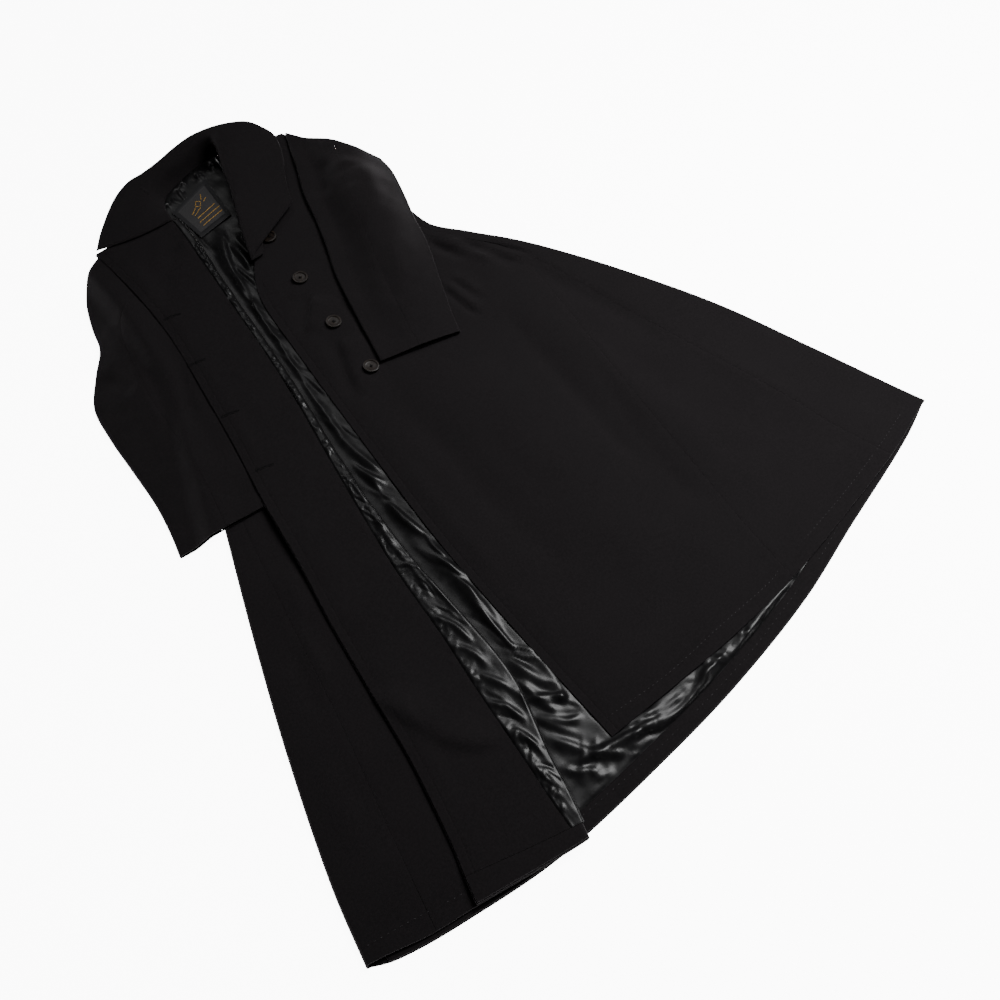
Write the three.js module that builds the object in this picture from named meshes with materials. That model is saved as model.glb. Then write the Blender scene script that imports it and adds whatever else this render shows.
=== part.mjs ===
// A long, flared, single-breasted wool coat, laid open on its back on a table.
// The right front is turned back on itself and shows its facing and lining;
// the left sleeve is folded over the left front.
//
// Sizes are in millimetres, in the coat's own frame:
//   X runs from the centre back towards the wearer's left side,
//   Y runs from the lowest point of the hem towards the collar,
//   Z runs up from the table.
// The whole group is shifted at the end, so that its origin is at the middle of its footprint.

import * as THREE from 'three';

// ---------------------------------------------------------------- cloth and gaps

const WOOL = 1.6;
const FACING = 1.4;
const LINING = 1.0;
const COLLAR = 3.0;
const LABEL = 1.0;
const SEAM_GAP = 0.3;
const LAYER_GAP = 0.5;

// ---------------------------------------------------------------- heights of the layers

const BACK_Z = WOOL / 2;
const LINING_Z = WOOL + LAYER_GAP + LINING / 2;
const HEM_STRIP_Z = WOOL + SEAM_GAP + WOOL / 2;
const LABEL_Z = WOOL + LAYER_GAP + LINING + SEAM_GAP + LABEL / 2;
const FRONT_Z = 8;
const FRONT_TOP = FRONT_Z + WOOL / 2;
const TURNED_SKIRT_Z = 13;
const TURNED_CHEST_Z = 17;
const TURNED_RISE = { from: 360, to: 590 };

// ---------------------------------------------------------------- numbers of steps

const ROWS = 16;
const FOLD_STEPS = 4;
const SLEEVE_TOP_STEPS = 4;
const COLLAR_STEPS = 8;
const LABEL_STEPS = 4;

// ---------------------------------------------------------------- lines of the coat
// Each row gives, at a height above the hem, how far each line lies from the centre back.

const CENTRE_BACK = [
  { y: 0, x: 0 },
  { y: 400, x: -5 },
  { y: 800, x: -20 },
  { y: 1195, x: -42 },
];

const LEFT_SIDE = [
  { y: 60, fold: 545, backSeam: 424, princess: 165 },
  { y: 150, fold: 513, backSeam: 396, princess: 174 },
  { y: 300, fold: 469, backSeam: 366, princess: 196 },
  { y: 450, fold: 423, backSeam: 331, princess: 219 },
  { y: 600, fold: 358, backSeam: 298, princess: 247 },
  { y: 700, fold: 306, backSeam: 275, princess: 261 },
  { y: 750, fold: 275, backSeam: 254, princess: 241 },
  { y: 800, fold: 238, backSeam: 217, princess: 204 },
  { y: 860, fold: 199, backSeam: 186, princess: 173 },
  { y: 1000, fold: 200, backSeam: 187, princess: 174 },
  { y: 1060, fold: 180, backSeam: 167, princess: 154 },
  { y: 1172, fold: 142, backSeam: 129, princess: 116 },
];

const RIGHT_SIDE = [
  { y: 50, fold: -531, backSeam: -400, princess: -446 },
  { y: 150, fold: -508, backSeam: -392, princess: -423 },
  { y: 300, fold: -461, backSeam: -362, princess: -387 },
  { y: 450, fold: -407, backSeam: -330, princess: -356 },
  { y: 600, fold: -349, backSeam: -296, princess: -322 },
  { y: 750, fold: -290, backSeam: -262, princess: -274 },
  { y: 860, fold: -250, backSeam: -228, princess: -234 },
  { y: 1000, fold: -240, backSeam: -222, princess: -224 },
  { y: 1112, fold: -236, backSeam: -218, princess: -220 },
];

const LEFT_FRONT_EDGE = [
  { y: 60, x: -155 },
  { y: 200, x: -153 },
  { y: 400, x: -146 },
  { y: 600, x: -126 },
  { y: 800, x: -103 },
  { y: 900, x: -88 },
  { y: 950, x: -65 },
  { y: 1000, x: -27 },
  { y: 1060, x: 2 },
  { y: 1188, x: 45 },
];

// The turned-back right front, from its roll to its free edge.
const TURNED_FRONT = [
  { y: 0, roll: -256, facingSeam: -268, edge: -407 },
  { y: 60, roll: -238, facingSeam: -262, edge: -391 },
  { y: 100, roll: -228, facingSeam: -256, edge: -379 },
  { y: 200, roll: -193, facingSeam: -243, edge: -356 },
  { y: 300, roll: -181, facingSeam: -227, edge: -340 },
  { y: 400, roll: -179, facingSeam: -215, edge: -324 },
  { y: 500, roll: -172, facingSeam: -198, edge: -304 },
  { y: 600, roll: -157, facingSeam: -178, edge: -288 },
  { y: 700, roll: -145, facingSeam: -160, edge: -268 },
  { y: 800, roll: -129, facingSeam: -142, edge: -251 },
  { y: 900, roll: -117, facingSeam: -130, edge: -235 },
  { y: 1000, roll: -92, facingSeam: -116, edge: -229 },
  { y: 1120, roll: -50, facingSeam: -100, edge: -233 },
];

const BACK_LINING = [
  { y: 28, left: -286, right: 330 },
  { y: 80, left: -268, right: 255 },
  { y: 150, left: -244, right: 130 },
  { y: 250, left: -214, right: 10 },
  { y: 400, left: -211, right: -60 },
  { y: 600, left: -189, right: -70 },
  { y: 800, left: -161, right: -50 },
  { y: 1000, left: -124, right: -5 },
  { y: 1190, left: -112, right: 26 },
];

// ---------------------------------------------------------------- hems and top edges
// Each row gives, at a distance from the centre back, how far the edge lies above the hem's lowest point.

const BACK_HEM = [
  { x: -545, y: 66 },
  { x: -499, y: 42 },
  { x: -407, y: 22 },
  { x: -290, y: 7 },
  { x: -114, y: 10 },
  { x: 11, y: 19 },
  { x: 159, y: 41 },
  { x: 282, y: 72 },
  { x: 451, y: 114 },
  { x: 545, y: 148 },
];

const RIGHT_HEM = [
  { x: -545, y: 62 },
  { x: -508, y: 53 },
  { x: -457, y: 38 },
  { x: -396, y: 27 },
  { x: -307, y: 9 },
  { x: -240, y: -3 },
];

const LEFT_HEM = [
  { x: -160, y: 70 },
  { x: -44, y: 66 },
  { x: 58, y: 65 },
  { x: 167, y: 71 },
  { x: 300, y: 90 },
  { x: 417, y: 110 },
  { x: 545, y: 146 },
];

const BACK_TOP = [
  { x: -240, y: 1110 },
  { x: -128, y: 1150 },
  { x: -86, y: 1176 },
  { x: -40, y: 1199 },
  { x: 0, y: 1206 },
  { x: 48, y: 1200 },
  { x: 100, y: 1181 },
  { x: 142, y: 1172 },
];

const RIGHT_SHOULDER = [
  { x: -240, y: 1110 },
  { x: -128, y: 1148 },
  { x: -92, y: 1112 },
  { x: -60, y: 1076 },
];

const LEFT_SHOULDER = [
  { x: 40, y: 1186 },
  { x: 64, y: 1176 },
  { x: 100, y: 1177 },
  { x: 142, y: 1171 },
];

const TURNED_TOP = [
  { x: -236, y: 1128 },
  { x: -160, y: 1122 },
  { x: -107, y: 1112 },
  { x: -92, y: 1092 },
  { x: -60, y: 1076 },
];

const HEM_STRIP_DEPTH = 24;
const HEM_STRIP_ENDS = { right: -507, left: 500 };
const TURNED_STRIP = { roll: 19, edge: 34 };

// How far an inside piece stays back from the edge of the cloth under it.
const EDGE_ROLL = 1.5;
const ROLL_INSET = 1;
const NECK_SEAM = 2;

// ---------------------------------------------------------------- largest folds of the left front
// A soft ridge (rise above 0) or trough (rise below 0) along a line, with its half width.

const FRONT_FOLDS = [
  { x0: -40, y0: 690, x1: -46, y1: 230, width: 26, rise: -2.0 },
  { x0: 40, y0: 640, x1: 50, y1: 200, width: 60, rise: 5.0 },
  { x0: 168, y0: 670, x1: 146, y1: 250, width: 24, rise: -2.2 },
  { x0: 215, y0: 640, x1: 225, y1: 200, width: 34, rise: 4.0 },
  { x0: 262, y0: 690, x1: 318, y1: 430, width: 22, rise: -2.0 },
  { x0: -28, y0: 870, x1: -84, y1: 805, width: 16, rise: -1.6 },
  { x0: -50, y0: 780, x1: -92, y1: 650, width: 16, rise: -1.8 },
];

// Where along its line a fold grows to its full rise and where it dies away, as shares of its length.
const FOLD_FADE = { start: -0.15, full: 0.3, wane: 0.7, end: 1.15 };

// ---------------------------------------------------------------- sleeves
// A row is a section across the sleeve, from the armhole to the cuff: both sides of the flat tube,
// the seam on its top, and how far the tube is puffed up there.

const RIGHT_SLEEVE = [
  { outX: -229, outY: 1125, seam: 0.44, inX: -228, inY: 890, puff: 0 },
  { outX: -262, outY: 1103, seam: 0.42, inX: -229, inY: 877, puff: 7 },
  { outX: -290, outY: 1062, seam: 0.36, inX: -233, inY: 858, puff: 10 },
  { outX: -308, outY: 1014, seam: 0.32, inX: -237, inY: 838, puff: 12 },
  { outX: -320, outY: 972, seam: 0.33, inX: -242, inY: 818, puff: 12 },
  { outX: -350, outY: 932, seam: 0.44, inX: -247, inY: 796, puff: 11 },
  { outX: -379, outY: 886, seam: 0.53, inX: -253, inY: 768, puff: 10 },
  { outX: -388, outY: 830, seam: 0.56, inX: -259, inY: 738, puff: 9 },
  { outX: -392, outY: 764, seam: 0.57, inX: -266, inY: 702, puff: 8 },
  { outX: -396, outY: 700, seam: 0.56, inX: -274, inY: 662, puff: 6 },
  { outX: -404, outY: 650, seam: 0.55, inX: -281, inY: 626, puff: 4 },
  { outX: -414, outY: 608, seam: 0.55, inX: -288, inY: 595, puff: 3 },
];

const LEFT_SLEEVE = [
  { outX: 223, outY: 1008, seam: 0.5, inX: 142, inY: 1163, puff: 15 },
  { outX: 221, outY: 978, seam: 0.52, inX: 124, inY: 1122, puff: 17 },
  { outX: 211, outY: 944, seam: 0.54, inX: 106, inY: 1078, puff: 25 },
  { outX: 198, outY: 908, seam: 0.56, inX: 84, inY: 1030, puff: 27 },
  { outX: 184, outY: 872, seam: 0.57, inX: 64, inY: 968, puff: 25 },
  { outX: 172, outY: 832, seam: 0.57, inX: 44, inY: 914, puff: 21 },
  { outX: 155, outY: 790, seam: 0.56, inX: 24, inY: 866, puff: 17 },
  { outX: 139, outY: 756, seam: 0.55, inX: 9, inY: 818, puff: 12 },
  { outX: 124, outY: 722, seam: 0.54, inX: -4, inY: 770, puff: 8 },
  { outX: 108, outY: 686, seam: 0.53, inX: -16, inY: 724, puff: 5 },
  { outX: 95, outY: 653, seam: 0.52, inX: -26, inY: 686, puff: 3 },
];

// The flat tube: its depth, how far in its turned ends are rounded, and how far across it is puffed.
const TUBE_DEPTH = 4.2;
const TUBE_END = 3;
const TUBE_ROUND = { inset: 0.25, low: 0.28, high: 0.72 };
const PUFF_REACH = 0.84;

// Where the points of a sleeve's underside lie across it, and its seam there.
const UNDER_SEAM = 0.5;
const UNDER_OUTER = [0.36, 0.22, 0.1];
const UNDER_INNER = [0.9, 0.78, 0.64];

// The right sleeve comes down from the side of the coat over a short way, up to the shoulder's height.
const SLEEVE_RAMP = { foot: 48, head: 14, shoulder: 1112 };

// ---------------------------------------------------------------- collar
// A row is a section of the collar, from the open right end round the back neck to the turned-down
// left end: its neck seam, its roll and its outer edge.

const COLLAR_SECTIONS = [
  { neck: [-107, 1108, 22.0], roll: [-167, 1112, 22.5], edge: [-229, 1128, 22.0] },
  { neck: [-103, 1128, 20.0], roll: [-152, 1139, 24.0], edge: [-202, 1160, 22.0] },
  { neck: [-97, 1148, 13.0], roll: [-127, 1168, 26.0], edge: [-156, 1201, 24.0] },
  { neck: [-86, 1170, 6.5], roll: [-102, 1188, 27.0], edge: [-120, 1217, 28.0] },
  { neck: [-62, 1184, 5.2], roll: [-76, 1197, 27.0], edge: [-92, 1215, 33.0] },
  { neck: [-35, 1194, 4.6], roll: [-47, 1201, 28.0], edge: [-61, 1216, 38.0] },
  { neck: [-8, 1200, 4.6], roll: [-20, 1206, 29.0], edge: [-26, 1222, 42.0] },
  { neck: [20, 1202, 4.6], roll: [8, 1208, 33.0], edge: [11, 1223, 46.0] },
  { neck: [48, 1197, 5.2], roll: [26, 1200, 42.0], edge: [50, 1210, 51.0] },
  { neck: [64, 1178, 12.0], roll: [25, 1183, 46.0], edge: [88, 1189, 51.0] },
  { neck: [62, 1152, 14.0], roll: [19, 1162, 45.0], edge: [104, 1165, 47.0] },
  { neck: [48, 1118, 14.0], roll: [7, 1132, 41.0], edge: [112, 1140, 40.0] },
  { neck: [30, 1080, 14.0], roll: [-5, 1095, 36.0], edge: [100, 1104, 32.0] },
  { neck: [10, 1042, 13.5], roll: [-21, 1056, 31.0], edge: [79, 1069, 26.0] },
  { neck: [-12, 1004, 13.0], roll: [-38, 1016, 26.0], edge: [64, 1037, 22.5] },
  { neck: [-36, 966, 12.5], roll: [-56, 965, 20.5], edge: [58, 1020, 20.0] },
];

// ---------------------------------------------------------------- label and buttons

const LABEL_PLACE = { x: -54, y: 1106, width: 82, height: 78, turn: 0.27 };

// Radii of a button's foot, side, lip, rim and dish, each with its height.
const BUTTON_PROFILE = [
  { r: 0, z: 0 },
  { r: 9.8, z: 0 },
  { r: 11.4, z: 1.6 },
  { r: 10.6, z: 3.5 },
  { r: 9.4, z: 4.0 },
  { r: 8.2, z: 2.4 },
  { r: 0, z: 2.1 },
];
const BUTTON_SEGMENTS = 20;

const BUTTON_PLACES = [
  { x: -13, y: 979 },
  { x: -21, y: 891 },
  { x: -33, y: 790 },
  { x: -41, y: 689 },
];

// ---------------------------------------------------------------- finishes

const WOOL_FINISH = { color: 0x17161a, roughness: 0.95, metalness: 0 };
const SATIN_FINISH = { color: 0x1c1c1f, roughness: 0.3, metalness: 0 };
const LABEL_FINISH = { color: 0x101114, roughness: 0.5, metalness: 0 };
const BUTTON_FINISH = { color: 0x1b1512, roughness: 0.25, metalness: 0 };

// ---------------------------------------------------------------- helpers

const LOW_GUESS = 50;
const HIGH_GUESS = 1100;
const CORNER_TRIES = 12;

const lerp = THREE.MathUtils.lerp;
const smoothstep = THREE.MathUtils.smoothstep;

// Value of one column of a table at a place, on a smooth curve through its rows.
function smooth(rows, place, value, at) {
  const last = rows.length - 1;
  let i = 0;
  while (i < last - 1 && at > rows[i + 1][place]) i += 1;
  const a = rows[i];
  const b = rows[i + 1];
  const span = b[place] - a[place];
  const rise = (b[value] - a[value]) / span;
  const before = i > 0 ? rows[i - 1] : null;
  const after = i + 2 <= last ? rows[i + 2] : null;
  const slopeA = before ? (b[value] - before[value]) / (b[place] - before[place]) : rise;
  const slopeB = after ? (after[value] - a[value]) / (after[place] - a[place]) : rise;
  const s = (at - a[place]) / span;
  if (s < 0) return a[value] + (at - a[place]) * rise;
  if (s > 1) return b[value] + (at - b[place]) * rise;
  const h00 = (1 + 2 * s) * (1 - s) * (1 - s);
  const h10 = s * (1 - s) * (1 - s);
  const h01 = s * s * (3 - 2 * s);
  const h11 = s * s * (s - 1);
  return h00 * a[value] + h10 * span * slopeA + h01 * b[value] + h11 * span * slopeB;
}

// A line that runs up the coat: its x at a height.
function line(rows, column, shift = 0) {
  return (y) => smooth(rows, 'y', column, y) + shift;
}

// An edge that runs across the coat: its y at a distance from the centre back.
function edge(rows, shift = 0) {
  return (x) => smooth(rows, 'x', 'y', x) + shift;
}

// Where a line meets an edge.
function corner(lineX, edgeY, guess) {
  let y = guess;
  for (let i = 0; i < CORNER_TRIES; i += 1) y = edgeY(lineX(y));
  return { x: lineX(y), y };
}

// How much the left front's folds lift it at a place.
function frontFolds(x, y) {
  let lift = 0;
  for (const fold of FRONT_FOLDS) {
    const dx = fold.x1 - fold.x0;
    const dy = fold.y1 - fold.y0;
    const length = Math.hypot(dx, dy);
    const s = ((x - fold.x0) * dx + (y - fold.y0) * dy) / (length * length);
    const away = ((x - fold.x0) * dy - (y - fold.y0) * dx) / length;
    const grown = smoothstep(s, FOLD_FADE.start, FOLD_FADE.full);
    const waned = smoothstep(s, FOLD_FADE.wane, FOLD_FADE.end);
    lift += fold.rise * grown * (1 - waned) * Math.exp(-(away * away) / (fold.width * fold.width));
  }
  return lift;
}

function frontHeight(x, y) {
  return FRONT_Z + frontFolds(x, y);
}

// Height of the turned-back layer, which climbs over the right sleeve.
function turnedHeight(y) {
  return lerp(TURNED_SKIRT_Z, TURNED_CHEST_Z, smoothstep(y, TURNED_RISE.from, TURNED_RISE.to));
}

// What the right sleeve lies on: the table, or the side of the coat.
function underRightSleeve(x, y) {
  const side = smooth(RIGHT_SIDE, 'y', 'fold', Math.min(y, SLEEVE_RAMP.shoulder));
  return (FRONT_TOP + LAYER_GAP) * smoothstep(x, side - SLEEVE_RAMP.foot, side - SLEEVE_RAMP.head);
}

// What the left sleeve lies on: the left front.
function underLeftSleeve(x, y) {
  return frontHeight(x, y) + WOOL / 2 + LAYER_GAP;
}

// ---------------------------------------------------------------- solids

// A closed wall of one thickness along rows of points. Each row runs across the wall.
function wall(rows, thickness) {
  const count = rows[0].length;
  const half = thickness / 2;
  const outer = [];
  const inner = [];
  for (const row of rows) {
    row.forEach((point, i) => {
      const a = row[i - 1] ?? row.before ?? point;
      const b = row[i + 1] ?? row.after ?? point;
      const across = new THREE.Vector3().subVectors(b, a);
      const plan = Math.hypot(across.x, across.y);
      const run = row[count - 1].clone().sub(row[0]);
      const way = row.way ?? new THREE.Vector2(run.x, run.y).normalize();
      const forward = across.x * way.x + across.y * way.y;
      const normal = new THREE.Vector3(-across.z * way.x, -across.z * way.y, forward);
      if (plan === 0) normal.set(-Math.sign(across.z) * way.x, -Math.sign(across.z) * way.y, 0);
      normal.normalize().multiplyScalar(half);
      outer.push(point.clone().add(normal));
      inner.push(point.clone().sub(normal));
    });
  }
  return closeWall(outer, inner, rows.length, count);
}

function closeWall(outer, inner, rowCount, count) {
  const positions = [];
  for (const p of [...outer, ...inner]) positions.push(p.x, p.y, p.z);
  const faces = [];
  const top = (r, i) => r * count + i;
  const low = (r, i) => outer.length + r * count + i;
  const quad = (a, b, c, d) => faces.push(a, b, c, a, c, d);
  for (let r = 0; r < rowCount - 1; r += 1) {
    for (let i = 0; i < count - 1; i += 1) {
      quad(top(r, i), top(r, i + 1), top(r + 1, i + 1), top(r + 1, i));
      quad(low(r, i), low(r + 1, i), low(r + 1, i + 1), low(r, i + 1));
    }
    quad(low(r, 0), top(r, 0), top(r + 1, 0), low(r + 1, 0));
    quad(top(r, count - 1), low(r, count - 1), low(r + 1, count - 1), top(r + 1, count - 1));
  }
  for (let i = 0; i < count - 1; i += 1) {
    quad(low(0, i), low(0, i + 1), top(0, i + 1), top(0, i));
    const r = rowCount - 1;
    quad(top(r, i), top(r, i + 1), low(r, i + 1), low(r, i));
  }
  const geometry = new THREE.BufferGeometry();
  geometry.setAttribute('position', new THREE.Float32BufferAttribute(positions, 3));
  geometry.setIndex(faces);
  if (volume(positions, faces) < 0) geometry.setIndex(turnedInsideOut(faces));
  geometry.computeVertexNormals();
  return geometry;
}

function volume(positions, faces) {
  const a = new THREE.Vector3();
  const b = new THREE.Vector3();
  const c = new THREE.Vector3();
  let sum = 0;
  for (let i = 0; i < faces.length; i += 3) {
    a.fromArray(positions, faces[i] * 3);
    b.fromArray(positions, faces[i + 1] * 3);
    c.fromArray(positions, faces[i + 2] * 3);
    sum += a.dot(b.cross(c)) / 6;
  }
  return sum;
}

function turnedInsideOut(faces) {
  const turned = [];
  for (let i = 0; i < faces.length; i += 3) turned.push(faces[i], faces[i + 2], faces[i + 1]);
  return turned;
}

// One flat layer between two lines and two edges, as a function of place: u across, t up.
function layer({ from, to, bottom, top, height }) {
  const lowFrom = corner(from, bottom, LOW_GUESS);
  const lowTo = corner(to, bottom, LOW_GUESS);
  const highFrom = corner(from, top, HIGH_GUESS);
  const highTo = corner(to, top, HIGH_GUESS);
  return (u, t) => {
    const lowX = lerp(lowFrom.x, lowTo.x, u);
    const highX = lerp(highFrom.x, highTo.x, u);
    const y = lerp(bottom(lowX), top(highX), t);
    const fromY = lerp(lowFrom.y, highFrom.y, t);
    const toY = lerp(lowTo.y, highTo.y, t);
    const x = lerp(from(fromY), to(toY), u);
    return new THREE.Vector3(x, y, height(x, y));
  };
}

function spread(steps, visit) {
  const list = [];
  for (let i = 0; i <= steps; i += 1) list.push(visit(i / steps));
  return list;
}

// Rows of a wall made of layers one after the other, with a round fold between two of them.
function rowsThrough(parts, rowCount = ROWS) {
  return spread(rowCount, (t) => {
    const row = [];
    parts.forEach((part, k) => {
      if (part.layer) row.push(...spread(part.steps, (u) => part.layer(u, t)));
      else row.push(...foldPoints(parts[k - 1].layer(1, t), parts[k + 1].layer(0, t), part.bulge));
    });
    row.way = new THREE.Vector2(parts[0].way ?? 1, 0);
    return row;
  });
}

// The points of a half round that joins two layers, one above the other, without its ends.
function foldPoints(low, high, bulge) {
  const points = [];
  const radius = Math.abs(high.z - low.z) / 2;
  for (let i = 1; i < FOLD_STEPS; i += 1) {
    const angle = (Math.PI * i) / FOLD_STEPS;
    const s = (1 - Math.cos(angle)) / 2;
    const out = Math.sin(angle) * radius * bulge;
    const point = new THREE.Vector3().lerpVectors(low, high, s);
    point.x += out;
    points.push(point);
  }
  return points;
}

const FOLD_INSET = (FRONT_Z - BACK_Z) / 2 + WOOL / 2;

function turnedInset(y) {
  return (turnedHeight(y) - FRONT_Z) / 2 + WOOL / 2;
}

// ---------------------------------------------------------------- shell

const leftFold = line(LEFT_SIDE, 'fold', -FOLD_INSET);
const rightFold = line(RIGHT_SIDE, 'fold', FOLD_INSET);
const flatBack = () => BACK_Z;
const flatFront = () => FRONT_Z;

function backLeft() {
  const under = layer({
    from: line(CENTRE_BACK, 'x', SEAM_GAP / 2),
    to: leftFold,
    bottom: edge(BACK_HEM),
    top: edge(BACK_TOP),
    height: flatBack,
  });
  const over = layer({
    from: leftFold,
    to: line(LEFT_SIDE, 'backSeam', SEAM_GAP / 2),
    bottom: edge(LEFT_HEM),
    top: edge(LEFT_SHOULDER),
    height: flatFront,
  });
  return wall(rowsThrough([{ layer: under, steps: 5 }, { bulge: 1 }, { layer: over, steps: 3 }]), WOOL);
}

function sideLeft() {
  const panel = layer({
    from: line(LEFT_SIDE, 'princess', SEAM_GAP / 2),
    to: line(LEFT_SIDE, 'backSeam', -SEAM_GAP / 2),
    bottom: edge(LEFT_HEM),
    top: edge(LEFT_SHOULDER),
    height: frontHeight,
  });
  return wall(rowsThrough([{ layer: panel, steps: 6 }]), WOOL);
}

function frontLeft() {
  const panel = layer({
    from: line(LEFT_FRONT_EDGE, 'x'),
    to: line(LEFT_SIDE, 'princess', -SEAM_GAP / 2),
    bottom: edge(LEFT_HEM),
    top: edge(LEFT_SHOULDER),
    height: frontHeight,
  });
  return wall(rowsThrough([{ layer: panel, steps: 10 }]), WOOL);
}

function backRight() {
  const under = layer({
    from: line(RIGHT_SIDE, 'backSeam', SEAM_GAP / 2),
    to: line(CENTRE_BACK, 'x', -SEAM_GAP / 2),
    bottom: edge(BACK_HEM),
    top: edge(BACK_TOP),
    height: flatBack,
  });
  return wall(rowsThrough([{ layer: under, steps: 5 }]), WOOL);
}

function sideRight() {
  const under = layer({
    from: line(RIGHT_SIDE, 'backSeam', -SEAM_GAP / 2),
    to: rightFold,
    bottom: edge(BACK_HEM),
    top: edge(BACK_TOP),
    height: flatBack,
  });
  const over = layer({
    from: rightFold,
    to: line(RIGHT_SIDE, 'princess', -SEAM_GAP / 2),
    bottom: edge(RIGHT_HEM),
    top: edge(RIGHT_SHOULDER),
    height: flatFront,
  });
  const parts = [{ layer: under, steps: 3, way: -1 }, { bulge: -1 }, { layer: over, steps: 4 }];
  return wall(rowsThrough(parts), WOOL);
}

// The turned-back layer lies at its own height; a piece that lies on it is moved up.
function turnedLayer(from, to, bottom, lift) {
  return layer({ from, to, bottom, top: edge(TURNED_TOP), height: (x, y) => turnedHeight(y) + lift });
}

const rollLine = (y) => smooth(TURNED_FRONT, 'y', 'roll', y) - turnedInset(y);
const turnedEdge = line(TURNED_FRONT, 'edge');

function turnedStripTop(x) {
  const s = (x - TURNED_FRONT[0].edge) / (TURNED_FRONT[0].roll - TURNED_FRONT[0].edge);
  return edge(RIGHT_HEM)(x) + lerp(TURNED_STRIP.edge, TURNED_STRIP.roll, s);
}

function frontRight() {
  const under = layer({
    from: line(RIGHT_SIDE, 'princess', SEAM_GAP / 2),
    to: rollLine,
    bottom: edge(RIGHT_HEM),
    top: edge(RIGHT_SHOULDER),
    height: flatFront,
  });
  const over = turnedLayer(rollLine, turnedEdge, edge(RIGHT_HEM), 0);
  return wall(rowsThrough([{ layer: under, steps: 6 }, { bulge: 1 }, { layer: over, steps: 6 }]), WOOL);
}

// ---------------------------------------------------------------- inside of the right front

function facingRight() {
  const lift = (WOOL + FACING) / 2 + LAYER_GAP;
  const panel = turnedLayer(
    line(TURNED_FRONT, 'edge', EDGE_ROLL),
    line(TURNED_FRONT, 'facingSeam', -SEAM_GAP / 2),
    (x) => turnedStripTop(x) + SEAM_GAP,
    lift,
  );
  return wall(rowsThrough([{ layer: panel, steps: 6 }]), FACING);
}

function liningRight() {
  const lift = (WOOL + LINING) / 2 + LAYER_GAP;
  const panel = turnedLayer(
    line(TURNED_FRONT, 'facingSeam', SEAM_GAP / 2),
    (y) => rollLine(y) + ROLL_INSET,
    (x) => turnedStripTop(x) + SEAM_GAP,
    lift,
  );
  return wall(rowsThrough([{ layer: panel, steps: 3 }]), LINING);
}

function hemRight() {
  const lift = WOOL + SEAM_GAP;
  const strip = layer({
    from: line(TURNED_FRONT, 'edge', EDGE_ROLL),
    to: (y) => rollLine(y) + ROLL_INSET,
    bottom: edge(RIGHT_HEM, EDGE_ROLL),
    top: turnedStripTop,
    height: (x, y) => turnedHeight(y) + lift,
  });
  return wall(rowsThrough([{ layer: strip, steps: 6 }], 1), WOOL);
}

// ---------------------------------------------------------------- inside of the back

const hemStripTop = edge(BACK_HEM, HEM_STRIP_DEPTH);

function hemBack() {
  const strip = layer({
    from: () => HEM_STRIP_ENDS.right,
    to: () => HEM_STRIP_ENDS.left,
    bottom: edge(BACK_HEM, EDGE_ROLL),
    top: hemStripTop,
    height: () => HEM_STRIP_Z,
  });
  return wall(rowsThrough([{ layer: strip, steps: 22 }], 1), WOOL);
}

function liningBack() {
  const panel = layer({
    from: line(BACK_LINING, 'left'),
    to: line(BACK_LINING, 'right'),
    bottom: (x) => hemStripTop(x) + SEAM_GAP,
    top: edge(BACK_TOP, -NECK_SEAM),
    height: () => LINING_Z,
  });
  return wall(rowsThrough([{ layer: panel, steps: 10 }]), LINING);
}

function label() {
  const { width, height, turn, x, y } = LABEL_PLACE;
  const geometry = new THREE.BoxGeometry(width, height, LABEL, LABEL_STEPS, LABEL_STEPS, 1);
  geometry.rotateZ(turn);
  geometry.translate(x, y, LABEL_Z);
  return geometry;
}

// ---------------------------------------------------------------- sleeves

// The closed outline of a flat tube's section, as points that start at the seam under the sleeve,
// run along the table to the outer side, over the top to the inner side and back under.
function tubeSection(row, ground, gap) {
  const out = new THREE.Vector2(row.outX, row.outY);
  const inn = new THREE.Vector2(row.inX, row.inY);
  const width = out.distanceTo(inn);
  const end = TUBE_END / width;
  const point = (u, rise) => {
    const p = new THREE.Vector2().lerpVectors(out, inn, u);
    return new THREE.Vector3(p.x, p.y, ground(p.x, p.y) + WOOL / 2 + rise);
  };
  const puffed = (u) => TUBE_DEPTH + row.puff * Math.sin(Math.PI * Math.min(u / PUFF_REACH, 1));
  const half = gap / 2 / width;
  const round = end * TUBE_ROUND.inset;
  const low = TUBE_DEPTH * TUBE_ROUND.low;
  const high = TUBE_DEPTH * TUBE_ROUND.high;
  const topFrom = (a, b) => spread(SLEEVE_TOP_STEPS, (s) => point(lerp(a, b, s), puffed(lerp(a, b, s))));
  const underOuter = [UNDER_SEAM - half, ...UNDER_OUTER, end].map((u) => point(u, 0));
  const outerSide = [point(round, low), point(round, high)];
  const topOuter = topFrom(end, row.seam - half);
  const topInner = topFrom(row.seam + half, 1 - end);
  const innerSide = [point(1 - round, high), point(1 - round, low)];
  const underInner = [1 - end, ...UNDER_INNER, UNDER_SEAM + half].map((u) => point(u, 0));
  const outerPart = [...underOuter, ...outerSide, ...topOuter];
  const innerPart = [...topInner, ...innerSide, ...underInner];
  const way = inn.clone().sub(out).normalize();
  outerPart.way = way;
  innerPart.way = way;
  outerPart.before = underInner[3];
  outerPart.after = topInner[1];
  innerPart.before = topOuter[3];
  innerPart.after = underOuter[1];
  return { outerPart, innerPart };
}

function sleeve(rows, ground, part) {
  return wall(rows.map((row) => tubeSection(row, ground, SEAM_GAP)[part]), WOOL);
}

// ---------------------------------------------------------------- collar

function collar() {
  const rows = COLLAR_SECTIONS.map((section) => {
    const points = [section.neck, section.roll, section.edge].map((p) => new THREE.Vector3(...p));
    return new THREE.CatmullRomCurve3(points, false, 'centripetal').getPoints(COLLAR_STEPS);
  });
  return thickened(rows, COLLAR);
}

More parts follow.
